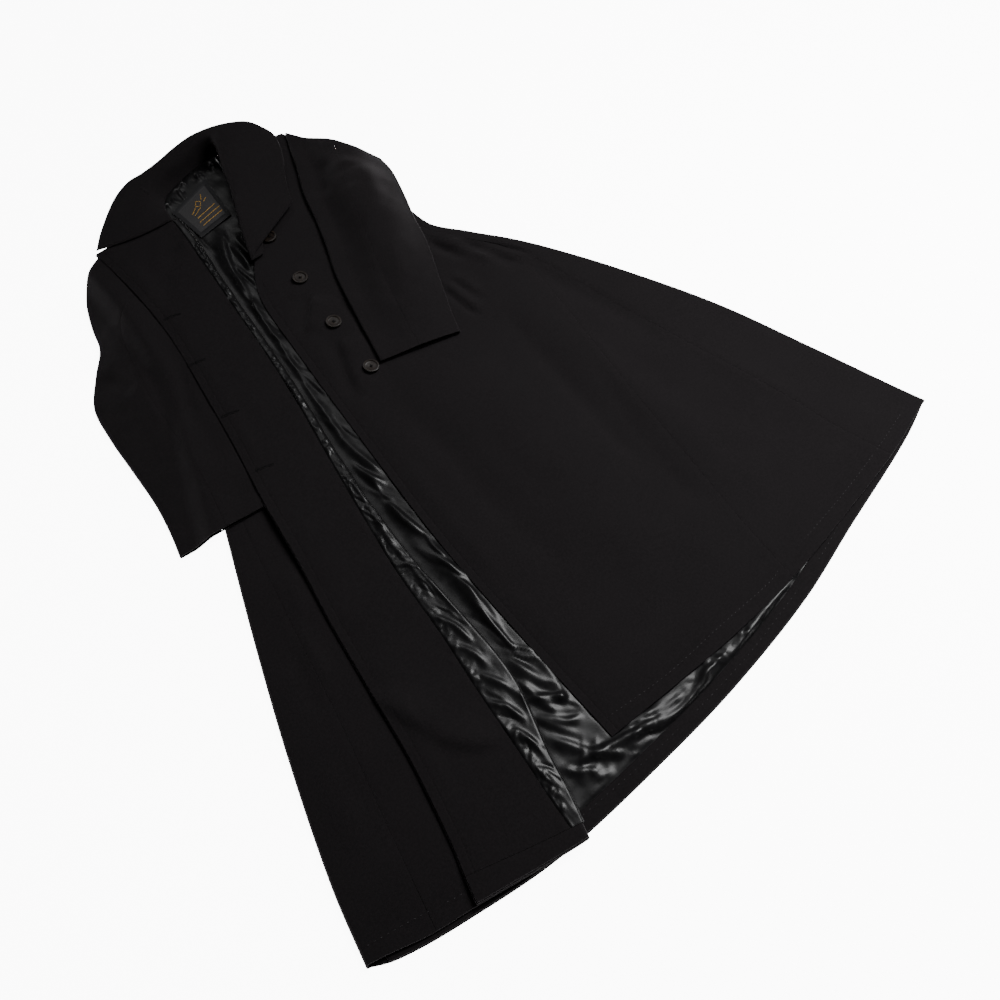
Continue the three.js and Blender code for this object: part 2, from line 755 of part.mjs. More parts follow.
// A wall whose thickness stands square to the surface in both directions.
function thickened(rows, thickness) {
  const count = rows[0].length;
  const outer = [];
  const inner = [];
  rows.forEach((row, r) => {
    row.forEach((point, i) => {
      const across = row[Math.min(i + 1, count - 1)].clone().sub(row[Math.max(i - 1, 0)]);
      const next = rows[Math.min(r + 1, rows.length - 1)][i];
      const along = next.clone().sub(rows[Math.max(r - 1, 0)][i]);
      const normal = across.cross(along).normalize().multiplyScalar(thickness / 2);
      outer.push(point.clone().add(normal));
      inner.push(point.clone().sub(normal));
    });
  });
  return closeWall(outer, inner, rows.length, count);
}

// ---------------------------------------------------------------- buttons

function button(place) {
  const points = BUTTON_PROFILE.map(({ r, z }) => new THREE.Vector2(r, z));
  const geometry = new THREE.LatheGeometry(points, BUTTON_SEGMENTS);
  geometry.rotateX(Math.PI / 2);
  const lift = frontHeight(place.x, place.y) + WOOL / 2 + LAYER_GAP;
  geometry.translate(place.x, place.y, lift);
  return geometry;
}

// ---------------------------------------------------------------- assembly

const coat = new THREE.Group();

function add(name, geometry, finish) {
  const mesh = new THREE.Mesh(geometry, new THREE.MeshStandardMaterial(finish));
  mesh.name = name;
  coat.add(mesh);
}

add('back_right', backRight(), WOOL_FINISH);
add('back_left', backLeft(), WOOL_FINISH);
add('side_right', sideRight(), WOOL_FINISH);
add('side_left', sideLeft(), WOOL_FINISH);
add('front_right', frontRight(), WOOL_FINISH);
add('front_left', frontLeft(), WOOL_FINISH);
add('hem_back', hemBack(), WOOL_FINISH);
add('hem_right', hemRight(), WOOL_FINISH);
add('facing_right', facingRight(), WOOL_FINISH);
add('lining_back', liningBack(), SATIN_FINISH);
add('lining_right', liningRight(), SATIN_FINISH);
add('sleeve_right_under', sleeve(RIGHT_SLEEVE, underRightSleeve, 'outerPart'), WOOL_FINISH);
add('sleeve_right_top', sleeve(RIGHT_SLEEVE, underRightSleeve, 'innerPart'), WOOL_FINISH);
add('sleeve_left_under', sleeve(LEFT_SLEEVE, underLeftSleeve, 'outerPart'), WOOL_FINISH);
add('sleeve_left_top', sleeve(LEFT_SLEEVE, underLeftSleeve, 'innerPart'), WOOL_FINISH);
add('collar', collar(), WOOL_FINISH);
add('label', label(), LABEL_FINISH);
BUTTON_PLACES.forEach((place, i) => add(`button_${i + 1}`, button(place), BUTTON_FINISH));

const footprint = new THREE.Box3().setFromObject(coat);
const middle = footprint.getCenter(new THREE.Vector3());
coat.position.set(-middle.x, -middle.y, -footprint.min.z);
coat.updateMatrixWorld(true);

export default coat;
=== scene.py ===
from math import cos, pi, radians, sin

import bpy
import numpy as np
from mathutils import Matrix, Vector


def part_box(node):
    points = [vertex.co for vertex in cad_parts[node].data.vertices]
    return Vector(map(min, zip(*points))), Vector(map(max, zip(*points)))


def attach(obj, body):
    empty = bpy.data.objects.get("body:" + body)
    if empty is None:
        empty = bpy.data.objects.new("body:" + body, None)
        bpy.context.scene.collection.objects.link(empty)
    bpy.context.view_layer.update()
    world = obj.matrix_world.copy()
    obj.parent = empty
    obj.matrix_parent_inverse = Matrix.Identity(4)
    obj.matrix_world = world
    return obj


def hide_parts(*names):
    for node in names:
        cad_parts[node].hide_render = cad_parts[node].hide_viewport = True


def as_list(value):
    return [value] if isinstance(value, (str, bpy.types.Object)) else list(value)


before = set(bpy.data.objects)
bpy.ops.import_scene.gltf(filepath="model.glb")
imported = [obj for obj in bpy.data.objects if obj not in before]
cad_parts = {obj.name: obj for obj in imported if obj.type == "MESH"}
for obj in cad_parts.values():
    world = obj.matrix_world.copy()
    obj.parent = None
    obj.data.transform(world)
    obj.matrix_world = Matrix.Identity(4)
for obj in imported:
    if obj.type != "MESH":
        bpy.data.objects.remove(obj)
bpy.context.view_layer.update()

# Sizes are in millimetres in the coat's own frame until sew() puts a piece in its place:
#   x runs from the centre back towards the wearer's left side,
#   y runs from the lowest point of the hem towards the collar, z runs up from the table.
MM = 0.001
FOURTH_BUTTON = (-41, 689)
button_low, button_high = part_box("button_4")
SHIFT = np.array([
    (button_low.x + button_high.x) / 2 / MM - FOURTH_BUTTON[0],
    (button_low.y + button_high.y) / 2 / MM - FOURTH_BUTTON[1],
    0.0,
])

# ---------------------------------------------------------------- cloth and gaps

WOOL = 1.6
FACING = 1.4
LINING = 1.0
COLLAR = 3.0
LABEL = 1.0
SEAM_GAP = 0.3
PRESSED_GAP = 0.08
LAYER_GAP = 0.5

BACK_Z = WOOL / 2
LINING_Z = WOOL + LAYER_GAP + LINING / 2
HEM_STRIP_Z = WOOL + SEAM_GAP + WOOL / 2
FRONT_Z = 8.0
TURNED_SKIRT_Z = 13.0
TURNED_CHEST_Z = 17.0
TURNED_RISE = (360, 590)

# Distances from an edge at which cloth gets a row of points: close together where it turns over or dips.
AT_EDGE = np.array([0, 0.2, 0.6, 1.2, 2.2, 4, 6.5, 8.8, 10, 10.8, 11.6, 12.6, 15])
AT_SEAM = np.array([0, 0.4, 0.9, 1.6, 2.6, 4.2, 6.5, 9, 10.5, 12, 15])
AT_FOLD = np.array([0, 4])


# ---------------------------------------------------------------- lines of the coat

def table(columns, rows):
    return dict(zip(columns.split(), np.array(rows, float).T))


CENTRE_BACK = table("y x", [(0, 0), (400, -5), (800, -20), (1195, -42)])

LEFT_SIDE = table("y fold back_seam princess", [
    (60, 545, 424, 165),
    (150, 513, 396, 174),
    (300, 469, 366, 196),
    (450, 423, 331, 219),
    (600, 358, 298, 247),
    (700, 306, 275, 261),
    (750, 275, 254, 241),
    (800, 238, 217, 204),
    (860, 199, 186, 173),
    (1000, 200, 187, 174),
    (1060, 180, 167, 154),
    (1172, 142, 129, 116),
])

RIGHT_SIDE = table("y fold back_seam princess", [
    (50, -531, -400, -446),
    (150, -508, -392, -423),
    (300, -461, -362, -387),
    (450, -407, -330, -356),
    (600, -349, -296, -322),
    (750, -290, -262, -274),
    (860, -250, -228, -234),
    (1000, -240, -222, -224),
    (1112, -236, -218, -220),
])

LEFT_FRONT_EDGE = table("y x", [
    (60, -155), (200, -153), (400, -146), (600, -126), (800, -103),
    (900, -88), (950, -65), (1000, -27), (1060, 2), (1188, 45),
])

TURNED_FRONT = table("y roll facing_seam edge", [
    (0, -256, -268, -407),
    (60, -238, -262, -391),
    (100, -228, -256, -379),
    (200, -197, -243, -356),
    (300, -191, -228, -340),
    (400, -190, -217, -324),
    (500, -182, -200, -304),
    (600, -168, -181, -288),
    (700, -150, -161, -268),
    (800, -135, -145, -251),
    (900, -122, -132, -235),
    (960, -114, -124, -230),
    (1010, -106, -118, -229),
    (1060, -99, -111, -230),
    (1120, -96, -106, -233),
])

BACK_LINING = table("y left right", [
    (28, -286, 330),
    (80, -268, 255),
    (150, -244, 130),
    (250, -214, 10),
    (400, -211, -60),
    (600, -189, -70),
    (800, -161, -50),
    (1000, -124, -5),
    (1190, -112, 26),
])

BACK_HEM = table("x y", [
    (-545, 66), (-499, 42), (-407, 22), (-290, 7), (-114, 10),
    (11, 19), (159, 41), (282, 72), (451, 114), (545, 148),
])
RIGHT_HEM = table("x y", [(-545, 62), (-508, 53), (-457, 38), (-396, 27), (-307, 9), (-240, -3)])
LEFT_HEM = table("x y", [(-160, 70), (-44, 66), (58, 65), (167, 71), (300, 90), (417, 110), (545, 146)])
BACK_TOP = table("x y", [
    (-240, 1110), (-128, 1150), (-86, 1176), (-40, 1199), (0, 1206), (48, 1200), (100, 1181), (142, 1172),
])
RIGHT_SHOULDER = table("x y", [(-240, 1110), (-128, 1148), (-92, 1112), (-60, 1076)])
LEFT_SHOULDER = table("x y", [(40, 1186), (64, 1176), (100, 1177), (142, 1171)])
TURNED_TOP = table("x y", [(-236, 1128), (-160, 1122), (-107, 1112), (-92, 1092), (-60, 1076)])

HEM_STRIP_DEPTH = 24
HEM_STRIP_ENDS = (-507, 500)
TURNED_STRIP = {"roll": 19, "edge": 34}
EDGE_ROLL = 1.5
NECK_SEAM = 2

RIGHT_SLEEVE = table("out_x out_y seam in_x in_y puff", [
    (-229, 1125, 0.44, -228, 890, 0),
    (-262, 1103, 0.42, -229, 877, 7),
    (-290, 1062, 0.36, -233, 858, 10),
    (-308, 1014, 0.32, -237, 838, 12),
    (-320, 972, 0.33, -242, 818, 12),
    (-350, 932, 0.44, -247, 796, 11),
    (-379, 886, 0.53, -253, 768, 10),
    (-388, 830, 0.56, -259, 738, 9),
    (-392, 764, 0.57, -266, 702, 8),
    (-396, 700, 0.56, -274, 662, 6),
    (-404, 650, 0.55, -281, 626, 4),
    (-414, 608, 0.55, -288, 595, 3),
])

LEFT_SLEEVE = table("out_x out_y seam in_x in_y puff", [
    (223, 1008, 0.50, 142, 1163, 15),
    (221, 978, 0.52, 124, 1122, 17),
    (211, 944, 0.54, 106, 1078, 25),
    (198, 908, 0.56, 84, 1030, 27),
    (184, 872, 0.57, 64, 968, 25),
    (172, 832, 0.57, 44, 914, 21),
    (155, 790, 0.56, 24, 866, 17),
    (139, 756, 0.55, 9, 818, 12),
    (124, 722, 0.54, -4, 770, 8),
    (108, 686, 0.53, -16, 724, 5),
    (95, 653, 0.52, -26, 686, 3),
])

TUBE_DEPTH = 4.2
TUBE_END = 3
TUBE_SIDE = 2.25
PUFF_REACH = 0.84
SLEEVE_RAMP = {"foot": 48, "head": 14, "shoulder": 1112}

# The collar from its open right end round the back neck to its turned-down left end:
# the neck seam, the roll and the outer edge of each section.
COLLAR_SECTIONS = np.array([
    [(-107, 1108, 22.0), (-167, 1112, 22.5), (-229, 1128, 22.0)],
    [(-103, 1128, 20.0), (-152, 1139, 24.0), (-202, 1160, 22.0)],
    [(-97, 1148, 13.0), (-127, 1168, 26.0), (-156, 1201, 24.0)],
    [(-86, 1170, 6.5), (-102, 1188, 27.0), (-120, 1217, 28.0)],
    [(-62, 1184, 5.2), (-76, 1197, 27.0), (-92, 1215, 33.0)],
    [(-35, 1194, 4.6), (-47, 1201, 28.0), (-61, 1216, 38.0)],
    [(-8, 1200, 4.6), (-20, 1206, 29.0), (-26, 1222, 42.0)],
    [(20, 1202, 4.6), (8, 1208, 33.0), (11, 1223, 46.0)],
    [(48, 1197, 5.2), (26, 1200, 42.0), (50, 1210, 51.0)],
    [(64, 1178, 12.0), (25, 1183, 46.0), (88, 1189, 51.0)],
    [(62, 1152, 14.0), (19, 1162, 45.0), (104, 1165, 47.0)],
    [(48, 1118, 14.0), (7, 1132, 41.0), (112, 1140, 40.0)],
    [(30, 1080, 14.0), (-5, 1095, 36.0), (100, 1104, 32.0)],
    [(10, 1042, 13.5), (-21, 1056, 31.0), (79, 1069, 26.0)],
    [(-12, 1004, 13.0), (-38, 1016, 26.0), (64, 1037, 22.5)],
    [(-36, 966, 12.5), (-56, 965, 20.5), (58, 1020, 20.0)],
], float)

# The label as it lies, pulled askew: bottom left, bottom right, top right and top left corner.
LABEL_CORNERS = [(-87, 1063), (-25, 1073), (-13, 1167), (-94, 1138)]
LABEL_WIDTH, LABEL_HEIGHT = 82, 78
BUTTON_PLACES = [(-9, 991), (-21, 891), (-33, 790), FOURTH_BUTTON]

# ---------------------------------------------------------------- folds and creases
# Each is a line of points with a half width and how far it rises (or, below 0, sinks).
# A pair of widths makes one flank steeper: right of the line first, seen along it, then left.

FRONT_FOLDS = [
    (26, -2.0, [(-40, 690), (-46, 230)]),
    (60, 5.0, [(40, 640), (50, 200)]),
    (24, -2.2, [(168, 670), (146, 250)]),
    (34, 4.0, [(215, 640), (225, 200)]),
    (22, -2.0, [(262, 690), (318, 430)]),
    (16, -1.6, [(-28, 870), (-84, 805)]),
    (16, -1.8, [(-50, 780), (-92, 650)]),
]
FOLD_FADE = (-0.15, 0.3, 0.7, 1.15)

FRONT_CREASES = [
    (13, -1.5, [(175, 669), (164, 578), (154, 491), (145, 420), (142, 346), (148, 256)]),
    (12, -1.2, [(220, 537), (171, 356), (150, 204)]),
    (15, -1.0, [(-40, 670), (-50, 588), (-50, 511), (-55, 431), (-54, 330), (-44, 245)]),
    (15, -1.6, [(270, 732), (270, 652), (289, 583), (307, 517), (314, 461)]),
    ((10, 8), -5.0, [(174, 838), (183, 800), (200, 752)]),
    ((13, 9), -5.4, [(210, 800), (234, 742), (256, 690)]),
    (11, 3.4, [(194, 820), (212, 770), (226, 716)]),
    ((9, 4), -2.4, [(236, 784), (258, 742), (282, 700)]),
    (5, -1.4, [(150, 742), (156, 713)]),
    ((13, 7), -2.2, [(-23, 864), (-52, 834), (-82, 807)]),
    ((13, 8), -1.8, [(-45, 775), (-70, 715), (-91, 656)]),
    ((5.5, 22), 4.6, [(-18, 856), (-46, 826), (-76, 798)]),
    ((6, 24), 4.2, [(-38, 768), (-62, 710), (-82, 652)]),
    ((6, 20), 2.6, [(-2, 920), (-28, 890), (-60, 868)]),
    ((4.5, 12), 2.6, [(138, 756), (139, 712), (142, 660)]),
    ((4.5, 12), 2.4, [(158, 756), (161, 720), (168, 684)]),
    (4.5, -1.4, [(3, 849), (-5, 780), (-17, 717)]),
    (3, -0.7, [(-87, 902), (-62, 888), (-31, 879)]),
    ((5, 6), -3.4, [(138, 750), (132, 727), (134, 700), (136, 676), (143, 650)]),
    ((6, 6), -2.4, [(160, 744), (158, 712), (164, 676)]),
    (6, 1.2, [(143, 744), (139, 722), (143, 694), (147, 668)]),
    (22, 1.4, [(330, 420), (372, 300), (398, 215)]),
    (26, -1.1, [(298, 330), (322, 240), (345, 160)]),
    (20, 0.9, [(88, 610), (96, 470), (92, 330)]),
    (18, -0.8, [(20, 560), (8, 430), (14, 300)]),
    (12, 0.8, [(-104, 560), (-112, 430), (-114, 300)]),
]

LOWER_CREASES = [
    ((20, 12), 2.2, [(-318, 526), (-326, 469), (-356, 422), (-368, 335)]),
    (14, -1.3, [(-344, 500), (-352, 440), (-388, 372), (-398, 290)]),
    (16, 1.1, [(-432, 300), (-448, 220), (-462, 140)]),
    (18, -0.9, [(-408, 250), (-424, 170), (-432, 100)]),
]

TURNED_CREASES = [
    ((8, 28), 6.2, [(-338, 304), (-322, 240), (-298, 182), (-248, 140)]),
    (12, -0.9, [(-312, 410), (-311, 315)]),
    ((26, 9), -4.9, [(-106, 1088), (-138, 1050), (-174, 1014), (-222, 958)]),
    ((12, 9), -1.8, [(-150, 1098), (-176, 1066), (-200, 1030)]),
    (18, 1.0, [(-262, 560), (-276, 470), (-292, 380)]),
    (14, -0.8, [(-205, 830), (-224, 740), (-238, 650)]),
    (9, -0.6, [(-300, 300), (-318, 200), (-340, 110)]),
]

RIGHT_SLEEVE_CREASES = [
    (14, -3.0, [(-341, 929), (-332, 900), (-320, 864)]),
    (9, -1.8, [(-253, 867), (-272, 812), (-293, 752)]),
    (12, 1.4, [(-300, 905), (-318, 850), (-322, 790)]),
    (10, -1.5, [(-382, 880), (-362, 856), (-336, 838)]),
    (14, -1.4, [(-372, 720), (-352, 700), (-322, 690)]),
]

LEFT_SLEEVE_CREASES = [
    (15, -3.0, [(150, 1070), (126, 1036), (98, 998)]),
    (13, -2.6, [(167, 1026), (152, 998), (135, 966)]),
    (12, -2.6, [(98, 846), (76, 806), (64, 771), (55, 741)]),
    (13, 1.6, [(186, 1010), (172, 962), (152, 912)]),
    (11, 1.2, [(122, 860), (104, 812), (92, 768)]),
    (14, -1.6, [(196, 960), (176, 930), (148, 906)]),
]

# The lining of the back, in the open between the fronts and above the hem.
BACK_LINING_FOLDS = [
    ((13, 4), 5.0, [(-47, 1066), (-81, 999), (-95, 932), (-104, 900)]),
    ((12, 4.5), 4.6, [(-101, 915), (-108, 868), (-117, 805), (-130, 725)]),
    ((11, 5), 4.8, [(-122, 770), (-134, 710), (-141, 650), (-143, 600)]),
    ((5, 8), 3.4, [(-58, 1030), (-62, 978), (-70, 950)]),
    ((4, 7), 2.6, [(-40, 1042), (-44, 990), (-52, 952)]),
    ((4, 7), 3.0, [(-96, 915), (-104, 890), (-112, 852)]),
    ((8, 5), 3.2, [(-150, 640), (-142, 590), (-137, 530)]),
    ((7, 4), 3.4, [(-163, 590), (-152, 545), (-139, 520)]),
    ((9, 4), 4.0, [(-160, 505), (-157, 465), (-150, 420)]),
    ((10, 5), 4.4, [(-152, 430), (-156, 370), (-160, 300), (-166, 250)]),
    ((6, 4), 2.6, [(-166, 330), (-168, 270), (-170, 215)]),
    ((9, 6), 3.4, [(-186, 235), (-176, 195), (-160, 160)]),
    ((5, 7), 2.8, [(-196, 205), (-188, 165), (-184, 120)]),
    ((8, 4), 3.2, [(-150, 205), (-158, 165), (-172, 130)]),
    ((4, 6), 2.6, [(-200, 175), (-178, 150), (-152, 142)]),
    ((6, 4), 2.4, [(-206, 150), (-182, 120), (-158, 112)]),
    ((8, 4.5), 4.4, [(-222, 138), (-200, 98), (-180, 70), (-127, 56), (-60, 42)]),
    ((5, 3.5), 2.8, [(-228, 88), (-214, 66), (-201, 58), (-192, 40)]),
    ((5, 4), 2.8, [(-190, 74), (-170, 56), (-150, 44)]),
    ((7, 5), 2.8, [(-160, 100), (-130, 78), (-96, 62), (-60, 60)]),
    ((6, 4), 3.0, [(-110, 46), (-60, 40), (-8, 52), (40, 56)]),
    ((5, 4), 2.4, [(-40, 58), (0, 55), (44, 60)]),
    ((7, 4), 3.0, [(20, 46), (76, 58), (130, 72), (180, 78)]),
    ((5, 4), 2.4, [(90, 70), (140, 82), (196, 92)]),
    ((7, 4), 2.6, [(150, 74), (210, 88), (270, 100)]),
    ((10, 7), 2.0, [(-150, 900), (-168, 760), (-180, 620)]),
    ((12, 8), 2.2, [(-20, 180), (40, 140), (96, 118)]),
    ((9, 12), 1.8, [(-100, 470), (-106, 330), (-92, 220)]),
    ((9, 12), 1.8, [(-86, 850), (-96, 720), (-98, 590)]),
]

# The lining of the turned-back front, beside the roll.
RIGHT_LINING_FOLDS = [
    ((4, 7), 2.4, [(-84, 1085), (-100, 1040), (-112, 985)]),
    ((3, 5), 2.0, [(-72, 1080), (-86, 1046), (-100, 1000)]),
    ((3, 4), 1.6, [(-62, 1072), (-74, 1046), (-86, 1022)]),
    ((5, 4), 2.0, [(-104, 985), (-112, 950), (-122, 915)]),
    ((4, 3), 1.6, [(-148, 760), (-154, 710), (-162, 670)]),
    ((5, 4), 2.2, [(-176, 560), (-186, 500), (-194, 450), (-200, 400)]),
    ((4, 5), 2.0, [(-196, 440), (-198, 390), (-206, 340)]),
    ((5, 4), 2.4, [(-184, 420), (-192, 370), (-190, 320), (-186, 270)]),
    ((5, 3.5), 2.4, [(-222, 330), (-208, 300), (-204, 262)]),
    ((5, 4), 2.4, [(-232, 290), (-214, 258), (-210, 222)]),
    ((6, 4), 2.6, [(-238, 236), (-222, 222), (-206, 190)]),
    ((5, 3.5), 2.6, [(-246, 200), (-228, 178), (-220, 140)]),
    ((5, 4), 2.2, [(-252, 160), (-236, 140), (-232, 100)]),
    ((5, 4), 2.2, [(-258, 110), (-246, 90), (-242, 55)]),
    ((4, 5), 1.8, [(-216, 210), (-204, 170), (-212, 130)]),
]

COLLAR_CREASES = [
    (2.6, -2.2, [(21, 1164), (53, 1113), (76, 1064)]),
    (4.2, 2.2, [(28, 1167), (59, 1118), (83, 1070)]),
    (5, 2.0, [(69, 1123), (86, 1087)]),
    (4, -1.8, [(62, 1120), (80, 1083)]),
    (1.1, -0.9, [(42, 1006), (18, 990), (-8, 973)]),
    ((5, 8), -3.4, [(-113, 1206), (-106, 1172), (-100, 1140)]),
    (12, 2.2, [(-180, 1140), (-150, 1150), (-126, 1172)]),
]


# ---------------------------------------------------------------- curves and places

def mix(a, b, share):
    return a + (b - a) * share


def ease(at, start, stop):
    s = np.clip((at - start) / (stop - start), 0, 1)
    return s * s * (3 - 2 * s)


def bell(away, width):
    return np.exp(-(away / width) ** 2)


def smooth(rows, place, value, at):
    """One column of a table on a smooth curve through its rows."""
    p, v = rows[place], rows[value]
    at = np.asarray(at, float)
    rise = np.diff(v) / np.diff(p)
    slope = np.concatenate([rise[:1], (v[2:] - v[:-2]) / (p[2:] - p[:-2]), rise[-1:]])
    i = np.clip(np.searchsorted(p, at) - 1, 0, len(p) - 2)
    span = p[i + 1] - p[i]
    s = np.clip((at - p[i]) / span, 0, 1)
    inside = ((1 + 2 * s) * (1 - s) ** 2 * v[i] + s * (1 - s) ** 2 * span * slope[i]
              + s * s * (3 - 2 * s) * v[i + 1] + s * s * (s - 1) * span * slope[i + 1])
    return inside + np.minimum(at - p[0], 0) * slope[0] + np.maximum(at - p[-1], 0) * slope[-1]


def line(rows, column, shift=0.0):
    return lambda y: smooth(rows, "y", column, y) + shift


def edge(rows, shift=0.0):
    return lambda x: smooth(rows, "x", "y", x) + shift


def corner(line_x, edge_y, guess):
    """Where a line that runs up the coat meets an edge that runs across it."""
    y = guess
    for _ in range(12):
        y = edge_y(line_x(y))
    return float(line_x(y)), float(y)


def curve(points, steps=8):
    """A smooth line through points, as points close together."""
    p = np.array(points, float)
    if len(p) == 2:
        return mix(p[0], p[1], np.linspace(0, 1, steps)[:, None])
    p = np.vstack([2 * p[0] - p[1], p, 2 * p[-1] - p[-2]])
    s = np.linspace(0, 1, steps, endpoint=False)[:, None]
    run = []
    for a, b, c, d in zip(p, p[1:], p[2:], p[3:]):
        square, cube = 2 * a - 5 * b + 4 * c - d, 3 * b - a - 3 * c + d
        run.append(0.5 * (2 * b + (c - a) * s + square * s ** 2 + cube * s ** 3))
    return np.vstack(run + [p[-2:-1]])


def beside(points, x, y):
    """How far each place is from a line (above 0 on its left), and what share of the line is behind it."""
    p = curve(points)[:, :2]
    steps = np.linalg.norm(np.diff(p, axis=0), axis=1)
    behind = np.concatenate([[0], np.cumsum(steps)])
    nearest, away, share = np.full(x.shape, np.inf), np.zeros(x.shape), np.zeros(x.shape)
    for i, length in enumerate(steps):
        (ax, ay), (bx, by) = p[i], p[i + 1]
        dx, dy = (bx - ax) / length, (by - ay) / length
        s = np.clip((x - ax) * dx + (y - ay) * dy, 0, length)
        far = np.hypot(x - ax - s * dx, y - ay - s * dy)
        near = far < nearest
        nearest = np.where(near, far, nearest)
        away = np.where(near, far * np.sign((y - ay) * dx - (x - ax) * dy), away)
        share = np.where(near, (behind[i] + s) / behind[-1], share)
    return away, share, behind[-1]


# How a crease swells along its length: by what share, over what length, and how much the next one differs.
CREASE_SWELLS = [(0.22, 23, 1.7), (0.12, 9, 1)]
CREASE_REACH = 3


def creased(x, y, creases, fade=0.28):
    """How far a table of creases lifts the cloth at each place. No two are equally deep all along."""
    lift = np.zeros(x.shape)
    for k, (width, rise, points) in enumerate(creases):
        right, left = width if isinstance(width, tuple) else (width, width)
        reach = CREASE_REACH * max(left, right)
        p = np.array(points, float)
        near = ((x > p[:, 0].min() - reach) & (x < p[:, 0].max() + reach)
                & (y > p[:, 1].min() - reach) & (y < p[:, 1].max() + reach))
        if not near.any():
            continue
        away, share, length = beside(points, x[near], y[near])
        at = share * length
        uneven = 1 + sum(swell * np.sin(at / wave + shift * k) for swell, wave, shift in CREASE_SWELLS)
        grown = ease(share, 0, fade) * (1 - ease(share, 1 - fade, 1))
        lift[near] += rise * uneven * grown * np.where(away > 0, bell(away, left), bell(away, right))
    return lift


def creases_over(x, y, *layers):
    """Tables of creases laid over each other, each with its fade."""
    return sum(creased(x, y, creases, fade) for creases, fade in layers)


SCATTER_BEND = 0.25
SCATTER_RAISED_SHARE = 0.62
SCATTER_SUNK = -0.8
SCATTER_STEEP_FLANK = (0.45, 0.8)


def scatter(seed, count, where, lengths, widths, rises, lean):
    """Short creases in a table like the others.

    where gives each a random middle and heading, and lean is how far the headings stray from it.
    """
    pick = np.random.RandomState(seed)
    creases = []
    for _ in range(count):
        x, y, heading = where(pick)
        heading += pick.uniform(-lean, lean)
        reach = pick.uniform(*lengths) / 2
        bend = pick.uniform(-SCATTER_BEND, SCATTER_BEND) * reach
        dx, dy = cos(heading), sin(heading)
        start, end = (x - dx * reach, y - dy * reach), (x + dx * reach, y + dy * reach)
        width = pick.uniform(*widths)
        rise = pick.uniform(*rises) * (1 if pick.uniform() < SCATTER_RAISED_SHARE else SCATTER_SUNK)
        steep = width * pick.uniform(*SCATTER_STEEP_FLANK)
        creases.append(((width, steep), rise, [start, (x - dy * bend, y + dx * bend), end]))
    return creases


RIPPLE_CELLS = 97
RIPPLE_START = 40


def ripple(x, y, size, seed, stretch=(1, 1)):
    """Soft uneven waves of about that size, between -1 and 1. stretch packs them closer along x or y."""
    heights = np.random.RandomState(seed).uniform(-1, 1, (RIPPLE_CELLS, RIPPLE_CELLS))
    gx, gy = x * stretch[0] / size + RIPPLE_START, y * stretch[1] / size + RIPPLE_START
    i, j = np.floor(gx).astype(int), np.floor(gy).astype(int)
    s, t = ease(gx - i, 0, 1), ease(gy - j, 0, 1)
    i, j = i % RIPPLE_CELLS, j % RIPPLE_CELLS
    i1, j1 = (i + 1) % RIPPLE_CELLS, (j + 1) % RIPPLE_CELLS
    return mix(mix(heights[i, j], heights[i1, j], s), mix(heights[i, j1], heights[i1, j1], s), t)


def waves(x, y, rows):
    """Ripples laid over each other, from rows of height, size and seed."""
    return sum(height * ripple(x, y, *kind) for height, *kind in rows)


# ---------------------------------------------------------------- heights of the layers

left_edge = line(LEFT_FRONT_EDGE, "x")
left_hem = edge(LEFT_HEM)
right_hem = edge(RIGHT_HEM)
back_hem = edge(BACK_HEM)
back_top = edge(BACK_TOP)
left_shoulder = edge(LEFT_SHOULDER)
right_shoulder = edge(RIGHT_SHOULDER)
turned_top = edge(TURNED_TOP)
turned_edge = line(TURNED_FRONT, "edge")
roll_edge = line(TURNED_FRONT, "roll")
facing_seam = line(TURNED_FRONT, "facing_seam")
facing_edge = line(TURNED_FRONT, "edge", EDGE_ROLL)


def plain_front_height(x, y):
    """The left front with only its largest folds, as the sleeve and the buttons meet it."""
    lift = np.zeros(np.shape(x))
    for width, rise, ((ax, ay), (bx, by)) in FRONT_FOLDS:
        dx, dy = bx - ax, by - ay
        length = np.hypot(dx, dy)
        share = ((x - ax) * dx + (y - ay) * dy) / length ** 2
        away = ((x - ax) * dy - (y - ay) * dx) / length
        start, full, wane, end = FOLD_FADE
        lift += rise * ease(share, start, full) * (1 - ease(share, wane, end)) * bell(away, width)
    return FRONT_Z + lift


# Soft waves of each cloth: height, size and seed, and how they are stretched where they are.
FRONT_WAVES = [(0.55, 88, 3), (0.3, 37, 4)]
LOWER_WAVES = [(0.45, 80, 5), (0.25, 31, 6)]
TURNED_WAVES = [(0.5, 74, 7), (0.25, 33, 8)]
RIGHT_LINING_WAVES = [(0.35, 17, 41), (0.25, 8, 42, (1.6, 0.7))]
BACK_LINING_WAVES = [(0.4, 21, 61), (0.16, 9, 62, (1.5, 0.75))]
SLEEVE_WAVES = [(0.9, 42, 81), (0.4, 19, 82)]

# How far an edge droops towards the table, over what distance from it, and where along it the droop ends.
FRONT_EDGE_DROOP = (2.7, 34, (880, 960))
FRONT_HEM_DROOP = (2.5, 58, (330, 430))
LOWER_HEM_DROOP = (2.0, 50, (-500, -440))
CORNER_DROOP = 0.3
# The free edge of the turned front droops more above the waist, and less just past the sleeve's end.
TURNED_SKIRT_DROOP = 1.6
TURNED_CHEST_DROOP = 2.5
TURNED_DROOP_REACH = 26
TURNED_DROOP_GROWS = (600, 700)
TURNED_DROOP_STARTS = (30, 90)
CUFF_Y = 540
CUFF_REACH = 60
CUFF_HOLDS = 0.7
ROLL_STAYS_PLAIN = (-2, 22)
UNDER_TURNED_FRONT = (-30, 10)


